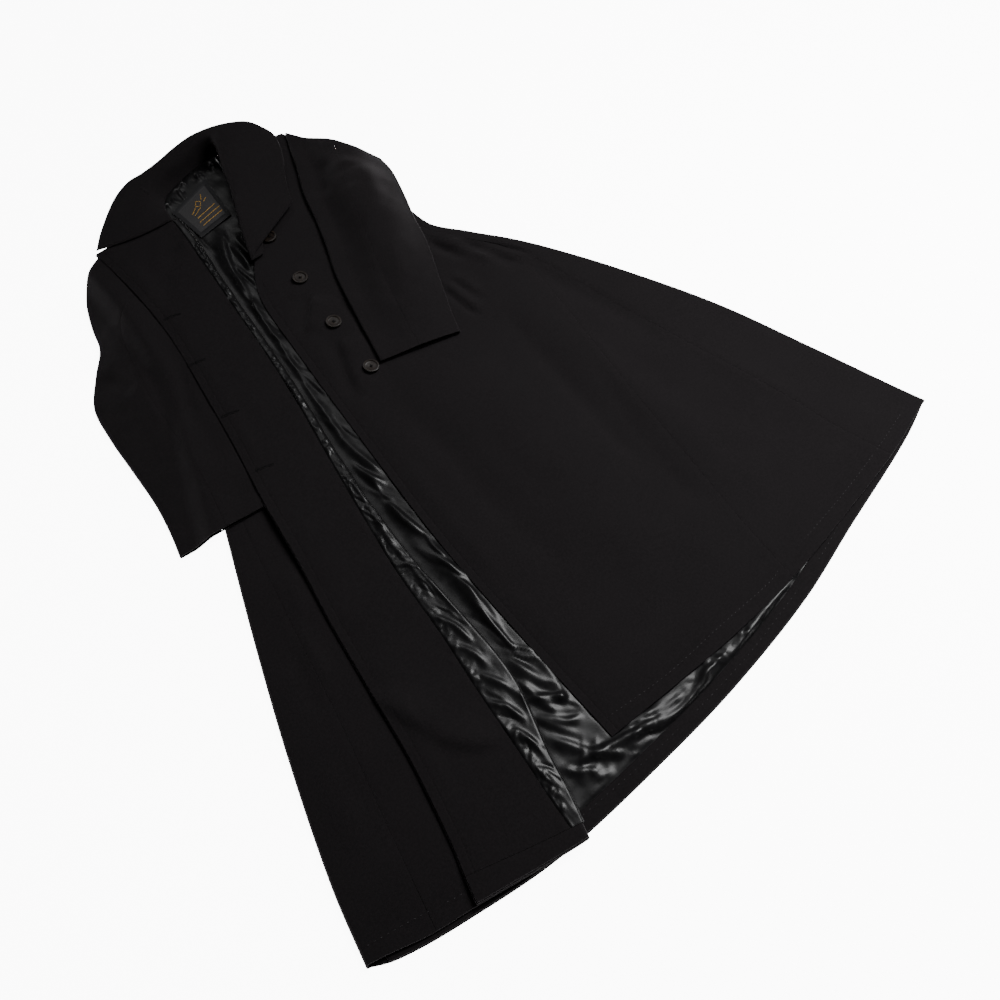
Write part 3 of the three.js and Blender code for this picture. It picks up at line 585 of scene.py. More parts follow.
def front_height(x, y):
    depth, reach, ends = FRONT_EDGE_DROOP
    droop = depth * (1 - ease(x - left_edge(y), 0, reach)) * (1 - ease(y, *ends))
    depth, reach, ends = FRONT_HEM_DROOP
    hem = depth * (1 - ease(y - left_hem(x), 0, reach)) * (1 - ease(x, *ends))
    detail = creased(x, y, FRONT_CREASES) + waves(x, y, FRONT_WAVES)
    both = np.maximum(droop, hem) + CORNER_DROOP * np.minimum(droop, hem)
    return plain_front_height(x, y) + detail - both


def lower_height(x, y):
    """The right front where it lies outer face up, under its turned-back half."""
    depth, reach, ends = LOWER_HEM_DROOP
    hem = depth * (1 - ease(y - right_hem(x), 0, reach)) * ease(x, *ends)
    open_part = 1 - ease(x - turned_edge(y), *UNDER_TURNED_FRONT)
    detail = creased(x, y, LOWER_CREASES) * open_part + waves(x, y, LOWER_WAVES)
    return FRONT_Z + detail - hem


def plain_turned_height(y):
    return mix(TURNED_SKIRT_Z, TURNED_CHEST_Z, ease(y, *TURNED_RISE))


def turned_height(x, y):
    """The turned-back half of the right front. Its free edge sinks towards what it lies on."""
    depth = mix(TURNED_SKIRT_DROOP, TURNED_CHEST_DROOP, ease(y, *TURNED_DROOP_GROWS))
    over_cuff = CUFF_HOLDS * bell(y - CUFF_Y, CUFF_REACH)
    sink = depth * (1 - ease(x - turned_edge(y), 0, TURNED_DROOP_REACH))
    sink = sink * ease(y, *TURNED_DROOP_STARTS) * (1 - over_cuff)
    detail = creased(x, y, TURNED_CREASES) + waves(x, y, TURNED_WAVES)
    keep_back = ease(roll_line(y) - x, *ROLL_STAYS_PLAIN)
    return plain_turned_height(y) + detail * keep_back - sink


def turned_inset(y):
    return (plain_turned_height(y) - FRONT_Z) / 2 + WOOL / 2


def roll_line(y):
    return smooth(TURNED_FRONT, "y", "roll", y) - turned_inset(y)


def under_right_sleeve(x, y):
    side = smooth(RIGHT_SIDE, "y", "fold", np.minimum(y, SLEEVE_RAMP["shoulder"]))
    return (FRONT_Z + WOOL / 2 + LAYER_GAP) * ease(x, side - SLEEVE_RAMP["foot"], side - SLEEVE_RAMP["head"])


def under_left_sleeve(x, y):
    return plain_front_height(x, y) + WOOL / 2 + LAYER_GAP


# ---------------------------------------------------------------- cutting and sewing

def layer(start, stop, bottom, top):
    """A flat layer between two lines and two edges, as a function of place: u across, t up."""
    (low_ax, low_ay), (low_bx, low_by) = corner(start, bottom, 50), corner(stop, bottom, 50)
    (high_ax, high_ay), (high_bx, high_by) = corner(start, top, 1100), corner(stop, top, 1100)

    def sides(t):
        return start(mix(low_ay, high_ay, t)), stop(mix(low_by, high_by, t))

    def place(u, t):
        y = mix(bottom(mix(low_ax, low_bx, u)), top(mix(high_ax, high_bx, u)), t)
        a, b = sides(t)
        return mix(a, b, u), y

    return place, lambda t: np.abs(sides(t)[1] - sides(t)[0])


def low_high(t, length):
    """How far each row is from the low and from the high end of its piece."""
    return (t * length)[:, None], ((1 - t) * length)[:, None]


def rows_up(length, step, at_low=AT_EDGE, at_high=AT_SEAM):
    """Rows up a piece, as shares of its length, and how far each is from its low and its high end."""
    count = int((length - at_low[-1] - at_high[-1]) / step)
    middle = np.linspace(at_low[-1], length - at_high[-1], count + 1)[1:-1]
    t = np.concatenate([at_low, middle, length - at_high[::-1]]) / length
    return t, *low_high(t, length)


# The narrowest a piece is cut, and how many times the width of its close side rows a piece has at least.
NARROWEST = 0.5
SIDE_ROOM = 2.3


def cut(start, stop, bottom, top, t, near, far, step):
    """Points of one layer in rows: x, y and the distance from its first and its last side."""
    place, span = layer(start, stop, bottom, top)
    width = np.maximum(span(t), NARROWEST)[:, None]
    fit = np.minimum(1, width / (SIDE_ROOM * (near[-1] + far[-1])))
    count = max(2, int((width.max() - near[-1] - far[-1]) / step))
    share = np.linspace(0, 1, count + 1)[1:-1]
    a, b = near[-1] * fit, width - far[-1] * fit
    d = np.hstack([near * fit, mix(a, b, share), width - far[::-1] * fit])
    x, y = place(d / width, t[:, None])
    return x, y, d, width - d


FREE_ROUNDING = 0.62
FREE_THINNEST = 0.02
SEAM_DIP = 0.12
SEAM_DIP_REACH = 0.9
AWAY_FROM_SEAMS = 50.0


def thinned(away, kind, thick):
    """Cloth is rounded at a free edge and dips into a seam."""
    if kind == "free":
        round_off = 1 - (1 - np.clip(away / (FREE_ROUNDING * thick), 0, 1)) ** 2
        return np.sqrt(np.clip(round_off, FREE_THINNEST, 1))
    return 1 - SEAM_DIP * bell(away, SEAM_DIP_REACH)


def half_wall(thick, *borders):
    """Half the thickness of a wall, less towards its borders: pairs of a distance and a kind of edge."""
    half = thick / 2
    for away, kind in borders:
        half = half * thinned(away, kind, thick)
    return half


def half_round(low_points, high_points, bulge, steps=14):
    """Points of a half round that joins two layers, one above the other, without its ends."""
    radius = np.abs(high_points[:, 2] - low_points[:, 2]) / 2
    angle = np.linspace(0, pi, steps + 1)[1:-1]
    share = ((1 - np.cos(angle)) / 2)[None, :, None]
    points = mix(low_points[:, None, :], high_points[:, None, :], share)
    points[:, :, 0] += np.sin(angle)[None, :] * radius[:, None] * bulge
    return points


def grid_faces(rows, cols):
    """Faces of a closed wall: its two sides and its four borders."""
    top = np.arange(rows * cols).reshape(rows, cols)
    low = top + rows * cols
    sides = [
        (top[:-1, :-1], top[:-1, 1:], top[1:, 1:], top[1:, :-1]),
        (low[:-1, :-1], low[1:, :-1], low[1:, 1:], low[:-1, 1:]),
        (top[:-1, 0], top[1:, 0], low[1:, 0], low[:-1, 0]),
        (top[:-1, -1], low[:-1, -1], low[1:, -1], top[1:, -1]),
        (top[0, :-1], low[0, :-1], low[0, 1:], top[0, 1:]),
        (top[-1, :-1], top[-1, 1:], low[-1, 1:], low[-1, :-1]),
    ]
    return np.vstack([np.stack([c.ravel() for c in side], 1) for side in sides])


def new_piece(name, points, faces, uv):
    mesh = bpy.data.meshes.new(name)
    mesh.vertices.add(len(points))
    mesh.vertices.foreach_set("co", ((points + SHIFT) * MM).astype(np.float32).ravel())
    mesh.loops.add(faces.size)
    mesh.loops.foreach_set("vertex_index", faces.ravel().astype(np.int32))
    mesh.polygons.add(len(faces))
    mesh.polygons.foreach_set("loop_start", np.arange(0, faces.size, 4, dtype=np.int32))
    mesh.polygons.foreach_set("use_smooth", np.ones(len(faces), bool))
    mesh.update(calc_edges=True)
    layer_uv = mesh.uv_layers.new(name="cloth")
    layer_uv.data.foreach_set("uv", (uv[faces.ravel()] * MM).astype(np.float32).ravel())
    piece = bpy.data.objects.new(name, mesh)
    bpy.context.scene.collection.objects.link(piece)
    return piece


# Each sheet of the coat: its slot, its flat size and area in metres, how it is held and what it rests on.
SHEETS = {
    "back_right": ("wool", (0.405, 1.18), 0.328, "laid", ["floor"]),
    "back_left": ("wool", (0.575, 1.18), 0.449, "laid", ["floor", "back_right"]),
    "side_right": ("wool", (0.315, 1.10), 0.113, "laid", ["floor", "back_right"]),
    "side_left": ("wool", (0.255, 1.09), 0.086, "laid", ["back_left", "front_left"]),
    "front_right": ("wool", (0.43, 1.15), 0.342, "laid", ["back_right", "lining_back", "sleeve_right_top"]),
    "front_left": ("wool", (0.42, 1.125), 0.332, "laid", ["lining_back", "back_left"]),
    "hem_back": ("wool", (1.012, 0.0235), 0.0227, "laid", ["back_left", "back_right"]),
    "hem_right": ("wool", (0.160, 0.033), 0.0034, "laid", ["front_right"]),
    "facing_right": ("wool", (0.165, 1.10), 0.120, "laid", ["front_right"]),
    "lining_back": ("satin_lining", (0.575, 1.163), 0.201, "laid", ["back_left", "back_right"]),
    "lining_right": ("satin_lining", (0.10, 1.09), 0.042, "laid", ["front_right"]),
    "label": ("woven_label", (0.082, 0.078), 0.0063, "laid", ["lining_back"]),
    "sleeve_right_under": ("wool", (0.155, 0.525), 0.0675, "folded", ["floor", "side_right"]),
    "sleeve_right_top": ("wool", (0.13, 0.49), 0.0486, "folded", ["floor", "front_right"]),
    "sleeve_left_under": ("wool", (0.155, 0.44), 0.061, "folded", ["front_left", "side_left"]),
    "sleeve_left_top": ("wool", (0.155, 0.50), 0.0647, "folded", ["front_left"]),
    "collar": ("wool", (0.50, 0.13), 0.0445, "folded", ["facing_right", "front_left", "back_left"]),
}


def walked(points, axis):
    """How far along a surface each of its points lies from the first one of its row or column."""
    first = np.take(points, [0], axis=axis)
    return np.cumsum(np.linalg.norm(np.diff(points, axis=axis, prepend=first), axis=2), axis=axis)


def sew(name, points, half, proud=0.0):
    """Makes a closed wall along rows of points and hands it to the coat. proud lifts only its first side."""
    rows, cols = points.shape[:2]
    normal = np.cross(np.gradient(points, axis=1), np.gradient(points, axis=0))
    normal /= np.maximum(np.linalg.norm(normal, axis=2), 1e-9)[..., None]
    half = np.broadcast_to(half, (rows, cols))[..., None]
    proud = np.broadcast_to(proud, (rows, cols))[..., None]
    first, second = points + normal * (half + proud), points - normal * half
    uv = np.stack([walked(points, 1), walked(points, 0)], 2).reshape(-1, 2)
    piece = new_piece(name, np.vstack([first.reshape(-1, 3), second.reshape(-1, 3)]), grid_faces(rows, cols),
                      np.vstack([uv, uv]))
    slot, flat, area, held, rests_on = SHEETS[name]
    piece.data.materials.append(SLOT_FINISHES[slot])
    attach(piece, "root")
    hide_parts(name)
    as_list(rests_on)
    return piece


# ---------------------------------------------------------------- finishes

# The colour sockets of a mix node. Its number sockets have the same names, so these are counted.
MIX_COLOUR_A, MIX_COLOUR_B, MIX_RESULT = 6, 7, 2


class Finish:
    """A material, with short words for the kinds of node that the coat needs."""

    def __init__(self, name, **values):
        self.material = bpy.data.materials.new(name)
        self.material.use_nodes = True
        self.nodes = self.material.node_tree.nodes
        self.shader = self.nodes["Principled BSDF"]
        for key, value in values.items():
            self.shader.inputs[key.replace("_", " ")].default_value = value

    def link(self, value, socket):
        self.material.node_tree.links.new(value, socket)

    def feed(self, key, value):
        self.link(value, self.shader.inputs[key])

    def add(self, kind, **values):
        node = self.nodes.new(kind)
        for key, value in values.items():
            if key in node.inputs:
                node.inputs[key].default_value = value
            else:
                setattr(node, key, value)
        return node

    def place(self, kind="Object"):
        return self.nodes.new("ShaderNodeTexCoord").outputs[kind]

    def stretched(self, place, scale):
        node = self.add("ShaderNodeMapping", Scale=scale)
        self.link(place, node.inputs["Vector"])
        return node.outputs["Vector"]

    def noise(self, place, scale, detail=3.0, roughness=0.6):
        node = self.add("ShaderNodeTexNoise", Scale=scale, Detail=detail, Roughness=roughness)
        self.link(place, node.inputs["Vector"])
        return node.outputs["Fac"]

    def ramp(self, value, *stops):
        """A colour for each share of value. A single number stands for a grey."""
        node = self.nodes.new("ShaderNodeValToRGB")
        points = node.color_ramp.elements
        while len(points) < len(stops):
            points.new(0.5)
        for point, (at, colour) in zip(points, stops):
            point.position = at
            point.color = (*colour, 1) if isinstance(colour, tuple) else (colour, colour, colour, 1)
        self.link(value, node.inputs["Fac"])
        return node.outputs["Color"]

    def maths(self, operation, a, b):
        node = self.add("ShaderNodeMath", operation=operation)
        for socket, value in zip(node.inputs, (a, b)):
            if isinstance(value, float):
                socket.default_value = value
            else:
                self.link(value, socket)
        return node.outputs["Value"]

    def blend(self, share, a, colour):
        node = self.add("ShaderNodeMix", data_type="RGBA")
        self.link(share, node.inputs["Factor"])
        self.link(a, node.inputs[MIX_COLOUR_A])
        node.inputs[MIX_COLOUR_B].default_value = (*colour, 1)
        return node.outputs[MIX_RESULT]

    def bump(self, height, strength, distance):
        node = self.add("ShaderNodeBump", Strength=strength, Distance=distance)
        self.link(height, node.inputs["Height"])
        self.feed("Normal", node.outputs["Normal"])


WOOL_DARK = (0.0044, 0.0039, 0.0042)
WOOL_MID = (0.0088, 0.0077, 0.0082)
WOOL_LINT = (0.022, 0.020, 0.021)
WOOL_GRAIN = (0.0125, 0.0109, 0.0117)
WOOL_WORN = (0.0130, 0.0114, 0.0121)
SATIN_DARK = (0.0036, 0.0035, 0.0038)
SATIN_LIGHT = (0.0056, 0.0054, 0.0058)
HORN_DARK = (0.006, 0.005, 0.005)
HORN_MID = (0.014, 0.010, 0.008)
HORN_PALE = (0.04, 0.028, 0.018)
BRONZE_DULL = (0.08, 0.056, 0.032)
BRONZE_BRIGHT = (0.20, 0.15, 0.09)
LABEL_GROUND = (0.024, 0.023, 0.024)
LABEL_EDGE = (0.006, 0.006, 0.007)
GOLD = (0.46, 0.26, 0.06)
PALE_GREY = (0.06, 0.056, 0.06)
NEAR_BLACK = (0.004, 0.0036, 0.004)


def darker(colour, share):
    return tuple(part * share for part in colour)


def wool_finish():
    """Brushed woollen coating: a short nap, slightly uneven all over, with stray pale hairs."""
    wool = Finish("black_wool", Specular_IOR_Level=0.03, Sheen_Weight=0.03, Sheen_Roughness=0.55,
                  Sheen_Tint=(0.95, 0.9, 0.95, 1))
    place = wool.place()
    nap = wool.noise(place, 900, 4.0, 0.7)
    clumps = wool.noise(place, 330, 4.0, 0.7)
    broad = wool.noise(place, 14, 3.0, 0.5)
    fine = wool.ramp(nap, (0.32, WOOL_DARK), (0.68, WOOL_MID), (0.86, WOOL_LINT))
    grained = wool.blend(wool.ramp(clumps, (0.38, 0), (0.66, 0.6)), fine, WOOL_GRAIN)
    wool.feed("Base Color", wool.blend(wool.maths("MULTIPLY", broad, 0.30), grained, WOOL_WORN))
    wool.feed("Roughness", wool.ramp(clumps, (0.3, 0.82), (0.7, 0.97)))
    wool.bump(wool.maths("ADD", nap, wool.maths("MULTIPLY", clumps, 0.8)), 0.35, 0.0005)
    return wool.material


def satin_finish():
    """Black lining satin: smooth, glossy floats with a faint ribbing and small uneven pulls."""
    satin = Finish("black_satin", Specular_IOR_Level=0.19)
    floats = satin.noise(satin.stretched(satin.place("UV"), (900, 5200, 1)), 1.0, 2.0, 0.5)
    pulls = satin.noise(satin.place(), 75, 4.0, 0.6)
    satin.feed("Base Color", satin.ramp(pulls, (0.3, SATIN_DARK), (0.7, SATIN_LIGHT)))
    satin.feed("Roughness", satin.ramp(pulls, (0.3, 0.28), (0.7, 0.38)))
    satin.bump(satin.maths("ADD", satin.maths("MULTIPLY", floats, 0.25), pulls), 0.12, 0.0006)
    return satin.material


def label_finish(name, colour, roughness):
    """Woven damask: fine ribs across a smooth ground."""
    damask = Finish(name, Roughness=roughness, Specular_IOR_Level=0.25)
    wave = damask.add("ShaderNodeTexWave", Scale=550.0, Distortion=0.6, Detail=2.0)
    damask.link(damask.place("UV"), wave.inputs["Vector"])
    ribs = wave.outputs["Fac"]
    damask.feed("Base Color", damask.ramp(ribs, (0.2, darker(colour, 0.7)), (0.8, colour)))
    damask.bump(ribs, 0.2, 0.0002)
    return damask.material


def thread_finish(name, colour):
    """Twisted thread. Each turn's crown is painted lighter and its hollow darker: painted highlight and
    shade.
    """
    thread = Finish(name, Roughness=0.6, Specular_IOR_Level=0.1)
    twist_and_painted_highlight = thread.noise(thread.place(), 2600, 2.0)
    # Painted highlight and shade: the noise that raises each turn also lightens its crown and darkens its
    # hollow.
    thread.feed("Base Color", thread.ramp(twist_and_painted_highlight, (0.35, darker(colour, 0.55)), (0.7, colour)))
    thread.bump(twist_and_painted_highlight, 0.3, 0.0002)
    return thread.material


def horn_finish():
    """Polished dark horn: brown streaks under a hard gloss, with fine scratches."""
    horn = Finish("dark_horn", Specular_IOR_Level=0.18)
    place = horn.place()
    streaks = horn.noise(horn.stretched(place, (420, 90, 200)), 1.0, 4.0)
    horn.feed("Base Color", horn.ramp(streaks, (0.3, HORN_DARK), (0.6, HORN_MID), (0.85, HORN_PALE)))
    horn.feed("Roughness", horn.ramp(horn.noise(place, 1400), (0.3, 0.28), (0.8, 0.42)))
    return horn.material


def rim_finish():
    """The button's raised rim: brownish metal, worn bright in places."""
    rim = Finish("bronze_rim", Metallic=1.0, Roughness=0.3)
    rim.feed("Base Color", rim.ramp(rim.noise(rim.place(), 700), (0.3, BRONZE_DULL), (0.7, BRONZE_BRIGHT)))
    return rim.material


def floor_finish():
    return Finish("pale_floor", Base_Color=(0.92, 0.92, 0.92, 1), Roughness=0.9, Specular_IOR_Level=0.1,
                  Emission_Color=(1, 1, 1, 1), Emission_Strength=10.0).material


SLOT_FINISHES = {
    "wool": wool_finish(),
    "satin_lining": satin_finish(),
    "woven_label": label_finish("label_ground", LABEL_GROUND, 0.5),
}
label_border = label_finish("label_border", LABEL_EDGE, 0.6)
gold_thread = thread_finish("gold_thread", GOLD)
pale_thread = thread_finish("pale_thread", PALE_GREY)
black_thread = thread_finish("black_thread", NEAR_BLACK)
dark_horn = horn_finish()
bronze_rim = rim_finish()

# ---------------------------------------------------------------- camera, light and floor

CAMERA_PLACE = (-0.52133, -0.77232, 1.27175)
CAMERA_TILT = 30.4
CAMERA_TURN = -40.67
CAMERA_LENS = 39.6
CAMERA_SENSOR = 36.0


def aim(place, target):
    return (Vector(target) - Vector(place)).to_track_quat("-Z", "Y").to_euler()


def set_camera():
    camera = bpy.data.objects.new("camera", bpy.data.cameras.new("camera"))
    camera.data.lens = CAMERA_LENS
    camera.data.sensor_width = CAMERA_SENSOR
    camera.data.clip_end = 60
    camera.location = CAMERA_PLACE
    camera.rotation_euler = (radians(CAMERA_TILT), 0, radians(CAMERA_TURN))
    bpy.context.scene.collection.objects.link(camera)
    bpy.context.scene.camera = camera


def softbox(name, place, target, size, watts, spread):
    light = bpy.data.lights.new(name, "AREA")
    light.shape = "RECTANGLE"
    light.size, light.size_y = size
    light.energy = watts
    light.spread = radians(spread)
    lamp = bpy.data.objects.new(name, light)
    lamp.location = place
    lamp.rotation_euler = aim(place, target)
    bpy.context.scene.collection.objects.link(lamp)


# Each soft light: its place, what it points at, its size, its power in watts and its spread in degrees.
SOFTBOXES = {
    "side_light": ((1.42, -0.14, 1.95), (0.46, -0.55, 0.0), (1.2, 1.2), 31, 94),
    "overhead_light": ((1.05, 0.75, 2.2), (0.10, 0.10, 0.0), (1.3, 1.3), 3.0, 180),
    "back_light": ((0.62, 1.85, 2.2), (-0.05, 0.20, 0.0), (0.9, 0.8), 8.0, 180),
}
ROOM_LIGHT = 0.08
FLOOR_SIZE = 9
FLOOR_Z = -0.0003


def set_light():
    world = bpy.data.worlds.new("studio")
    world.use_nodes = True
    background = world.node_tree.nodes["Background"]
    background.inputs["Color"].default_value = (1, 1, 1, 1)
    background.inputs["Strength"].default_value = ROOM_LIGHT
    bpy.context.scene.world = world
    for name, values in SOFTBOXES.items():
        softbox(name, *values)


def lay_floor():
    bpy.ops.object.select_all(action="DESELECT")
    bpy.ops.mesh.primitive_plane_add(size=FLOOR_SIZE, location=(0, 0, FLOOR_Z))
    floor = bpy.context.active_object
    floor.name = "floor"
    floor.data.materials.append(floor_finish())


# ---------------------------------------------------------------- back, sides and fronts

FOLD_INSET = (FRONT_Z - BACK_Z) / 2 + WOOL / 2
left_fold = line(LEFT_SIDE, "fold", -FOLD_INSET)
right_fold = line(RIGHT_SIDE, "fold", FOLD_INSET)
FOLD_SETTLES = (0, 16)

# Length of each wool piece as it is cut, the step between its rows and the steps between its columns.
GRIDS = {
    "back_right": (1160, 8, 8),
    "back_left": (1170, 7.5, 8, 4.6),
    "side_right": (1090, 6, 8, 5),
    "side_left": (1080, 5, 4.6),
    "front_right": (1120, 5.2, 5.4, 6.5),
    "front_left": (1110, 4.6, 4.6),
    "facing_right": (1090, 4.6, 4),
    "lining_right": (1090, 2.3, 1.6),
}


def pressed(rows, column, side):
    """A line of the coat, moved to one side (1 or -1) by half the gap of a pressed seam."""
    return line(rows, column, side * PRESSED_GAP / 2)


SEAM_SWELL = 0.16
SEAM_SWELL_RISES = (0, 6)
SEAM_SWELL_FALLS = (8, 15)
PRESSED_LINE_DEPTH = 0.35
PRESSED_LINE_FROM_EDGE = 10.8
PRESSED_LINE_WIDTH = 0.9
PRESSED_LINE_ENDS = (900, 960)
HEM_STEP = 0.35
HEM_STEP_FROM_EDGE = (56, 66)
HEM_STEP_STRAY = 4
HEM_STITCH_DEPTH = 0.25
HEM_STITCH_FROM_EDGE = 22
HEM_STITCH_WIDTH = 1.6


def seam_swell(away):
    """The turned-under allowance of a seam lifts the cloth a little beside it."""
    return SEAM_SWELL * (ease(away, *SEAM_SWELL_RISES) - ease(away, *SEAM_SWELL_FALLS))


def edge_line(away):
    """The pressed line inside a faced edge."""
    return -PRESSED_LINE_DEPTH * bell(away - PRESSED_LINE_FROM_EDGE, PRESSED_LINE_WIDTH)


def hem_marks(x, y, low):
    """The turned-up hem shows through as a faint step, with a line of catch stitches."""
    start, stop = HEM_STEP_FROM_EDGE
    step = HEM_STEP * (1 - ease(low, start + HEM_STEP_STRAY * ripple(x, y, 60, 21), stop))
    return step - HEM_STITCH_DEPTH * bell(low - HEM_STITCH_FROM_EDGE, HEM_STITCH_WIDTH)


def stack(x, y, z):
    return np.stack(np.broadcast_arrays(x, y, z), 2)


def joined(*parts):
    return np.concatenate(parts, axis=1)


def sew_panel(name, start, stop, bottom, top, near_kind, height):
    """A wool panel that lies open, from its near side, free or in a seam, to the seam at its far side."""
    length, row_step, step = GRIDS[name]
    t, low, high = rows_up(length, row_step)
    at_near = AT_EDGE if near_kind == "free" else AT_SEAM
    x, y, near, far = cut(start, stop, bottom, top, t, at_near, AT_SEAM, step)
    half = half_wall(WOOL, (near, near_kind), (far, "seam"), (low, "free"), (high, "seam"))
    sew(name, stack(x, y, height(x, y, near, far, low)), half)


def sew_folded(name, under, over, bulge, near, far, low, high, far_kind="seam"):
    """A wool piece that turns over on itself along one side: its lower half, a half round, its upper half."""
    fold = half_round(under[:, -1], over[:, 0], bulge)
    sides = joined(thinned(near, "seam", WOOL), np.ones(fold.shape[:2]), thinned(far, far_kind, WOOL))
    ends = thinned(low, "free", WOOL) * thinned(high, "seam", WOOL)
    sew(name, joined(under, fold, over), WOOL / 2 * sides * ends)


def make_back_right():
    sew_panel("back_right", pressed(RIGHT_SIDE, "back_seam", 1), pressed(CENTRE_BACK, "x", -1),
              back_hem, back_top, "seam", lambda x, y, near, far, low: BACK_Z)


def make_back_left():
    length, row_step, under_step, over_step = GRIDS["back_left"]
    t, low, high = rows_up(length, row_step)
    x, y, near, _ = cut(pressed(CENTRE_BACK, "x", 1), left_fold, back_hem, back_top,
                        t, AT_SEAM, AT_FOLD, under_step)
    under = stack(x, y, BACK_Z)
    x, y, from_fold, far = cut(left_fold, pressed(LEFT_SIDE, "back_seam", 1), left_hem, left_shoulder,
                               t, AT_FOLD, AT_SEAM, over_step)
    over = stack(x, y, mix(FRONT_Z, front_height(x, y) + seam_swell(far), ease(from_fold, *FOLD_SETTLES)))
    sew_folded("back_left", under, over, 1, near, far, low, high)


def make_side_right():
    length, row_step, under_step, over_step = GRIDS["side_right"]
    t, low, high = rows_up(length, row_step)
    x, y, near, _ = cut(pressed(RIGHT_SIDE, "back_seam", -1), right_fold, back_hem, back_top,
                        t, AT_SEAM, AT_FOLD, under_step)
    under = stack(x, y, BACK_Z)
    x, y, from_fold, far = cut(right_fold, pressed(RIGHT_SIDE, "princess", -1), right_hem, right_shoulder,
                               t, AT_FOLD, AT_SEAM, over_step)
    over = stack(x, y, mix(FRONT_Z, lower_height(x, y) + seam_swell(far), ease(from_fold, *FOLD_SETTLES)))
    sew_folded("side_right", under, over, -1, near, far, low, high)


def make_side_left():
    def height(x, y, near, far, low):
        return front_height(x, y) + seam_swell(near) + seam_swell(far) + hem_marks(x, y, low)

    sew_panel("side_left", pressed(LEFT_SIDE, "princess", 1), pressed(LEFT_SIDE, "back_seam", -1),
              left_hem, left_shoulder, "seam", height)


def make_front_left():
    def height(x, y, near, far, low):
        faced = edge_line(near) * (1 - ease(y, *PRESSED_LINE_ENDS))
        return front_height(x, y) + seam_swell(far) + faced + hem_marks(x, y, low)

    sew_panel("front_left", left_edge, pressed(LEFT_SIDE, "princess", -1),
              left_hem, left_shoulder, "free", height)


def make_front_right():
    length, row_step, under_step, over_step = GRIDS["front_right"]
    t, low, high = rows_up(length, row_step)
    x, y, near, to_roll = cut(pressed(RIGHT_SIDE, "princess", 1), roll_line, right_hem, right_shoulder,
                              t, AT_SEAM, AT_FOLD, under_step)
    lower = lower_height(x, y) + seam_swell(near) + hem_marks(x, y, low)
    under = stack(x, y, mix(FRONT_Z, lower, ease(to_roll, *FOLD_SETTLES)))
    x, y, _, far = cut(roll_line, turned_edge, right_hem, turned_top, t, AT_FOLD, AT_EDGE, over_step)
    over = stack(x, y, turned_height(x, y))
    sew_folded("front_right", under, over, 1, near, far, low, high, "free")


# ---------------------------------------------------------------- inside of the right front

FACING_LIFT = (WOOL + FACING) / 2 + LAYER_GAP
LINING_LIFT = (WOOL + LINING) / 2 + LAYER_GAP
ROLL_INSET = 1
AT_ROLL = np.array([0, 1.5])
ROLL_WRAP_END = 0.80 * pi
ROLL_WRAP = np.linspace(0, ROLL_WRAP_END, 13)[1:]
ROLL_WAVES = [(0.10, 26, 43), (0.05, 9, 44)]
ROLL_WAVE_SIZE = 9
FACING_PUCKER = 0.8
FACING_PUCKER_REACH = 8
RIGHT_LINING_PUFF = 0.9
RIGHT_LINING_ROOM = (-0.1, 6)
SEAM_HOLDS = (0, 2.4)
BUTTONHOLES = [(-209, 946), (-228, 852), (-241, 746), (-255, 642)]


def turned_strip_top(x):
    first, last = TURNED_FRONT["edge"][0], TURNED_FRONT["roll"][0]
    share = (x - first) / (last - first)
    return right_hem(x) + mix(TURNED_STRIP["edge"], TURNED_STRIP["roll"], share)


def above_turned_strip(x):
    return turned_strip_top(x) + SEAM_GAP


def inside_roll(y):
    return roll_line(y) + ROLL_INSET


def make_facing():
    length, row_step, step = GRIDS["facing_right"]
    t, low, high = rows_up(length, row_step, AT_SEAM, AT_SEAM)
    x, y, near, far = cut(facing_edge, line(TURNED_FRONT, "facing_seam", -SEAM_GAP / 2),
                          above_turned_strip, turned_top, t, AT_EDGE, AT_SEAM, step)
    z = turned_height(x, y) + FACING_LIFT + edge_line(near) + 0.5 * seam_swell(far)
    z += FACING_PUCKER * ripple(y, far, 6.5, 31) * bell(far, FACING_PUCKER_REACH)
    half = half_wall(FACING, (near, "free"), (far, "seam"), (low, "seam"), (high, "seam"))
    sew("facing_right", stack(x, y, z), half)


def at_facing_seam(pick):
    """A place on the lining beside its seam with the facing, with gathers that run out from it."""
    y = pick.uniform(45, 1040)
    x = float(facing_seam(y)) + pick.uniform(2, 12)
    return x, y, pick.uniform(-0.5, 0.9)


def on_the_roll(pick):
    """A place between that seam and the roll, with creases that run along the roll."""
    y = pick.uniform(60, 1040)
    x = mix(facing_seam(y) + 8, roll_edge(y), pick.uniform(0, 1))
    return float(x), y, pi / 2 + 0.35


GATHERS = scatter(14, 170, at_facing_seam, (8, 22), (1.6, 3.0), (0.4, 1.1), 0.45)
ROLL_CREASES = scatter(15, 70, on_the_roll, (24, 70), (2.0, 4.0), (0.4, 1.2), 0.35)


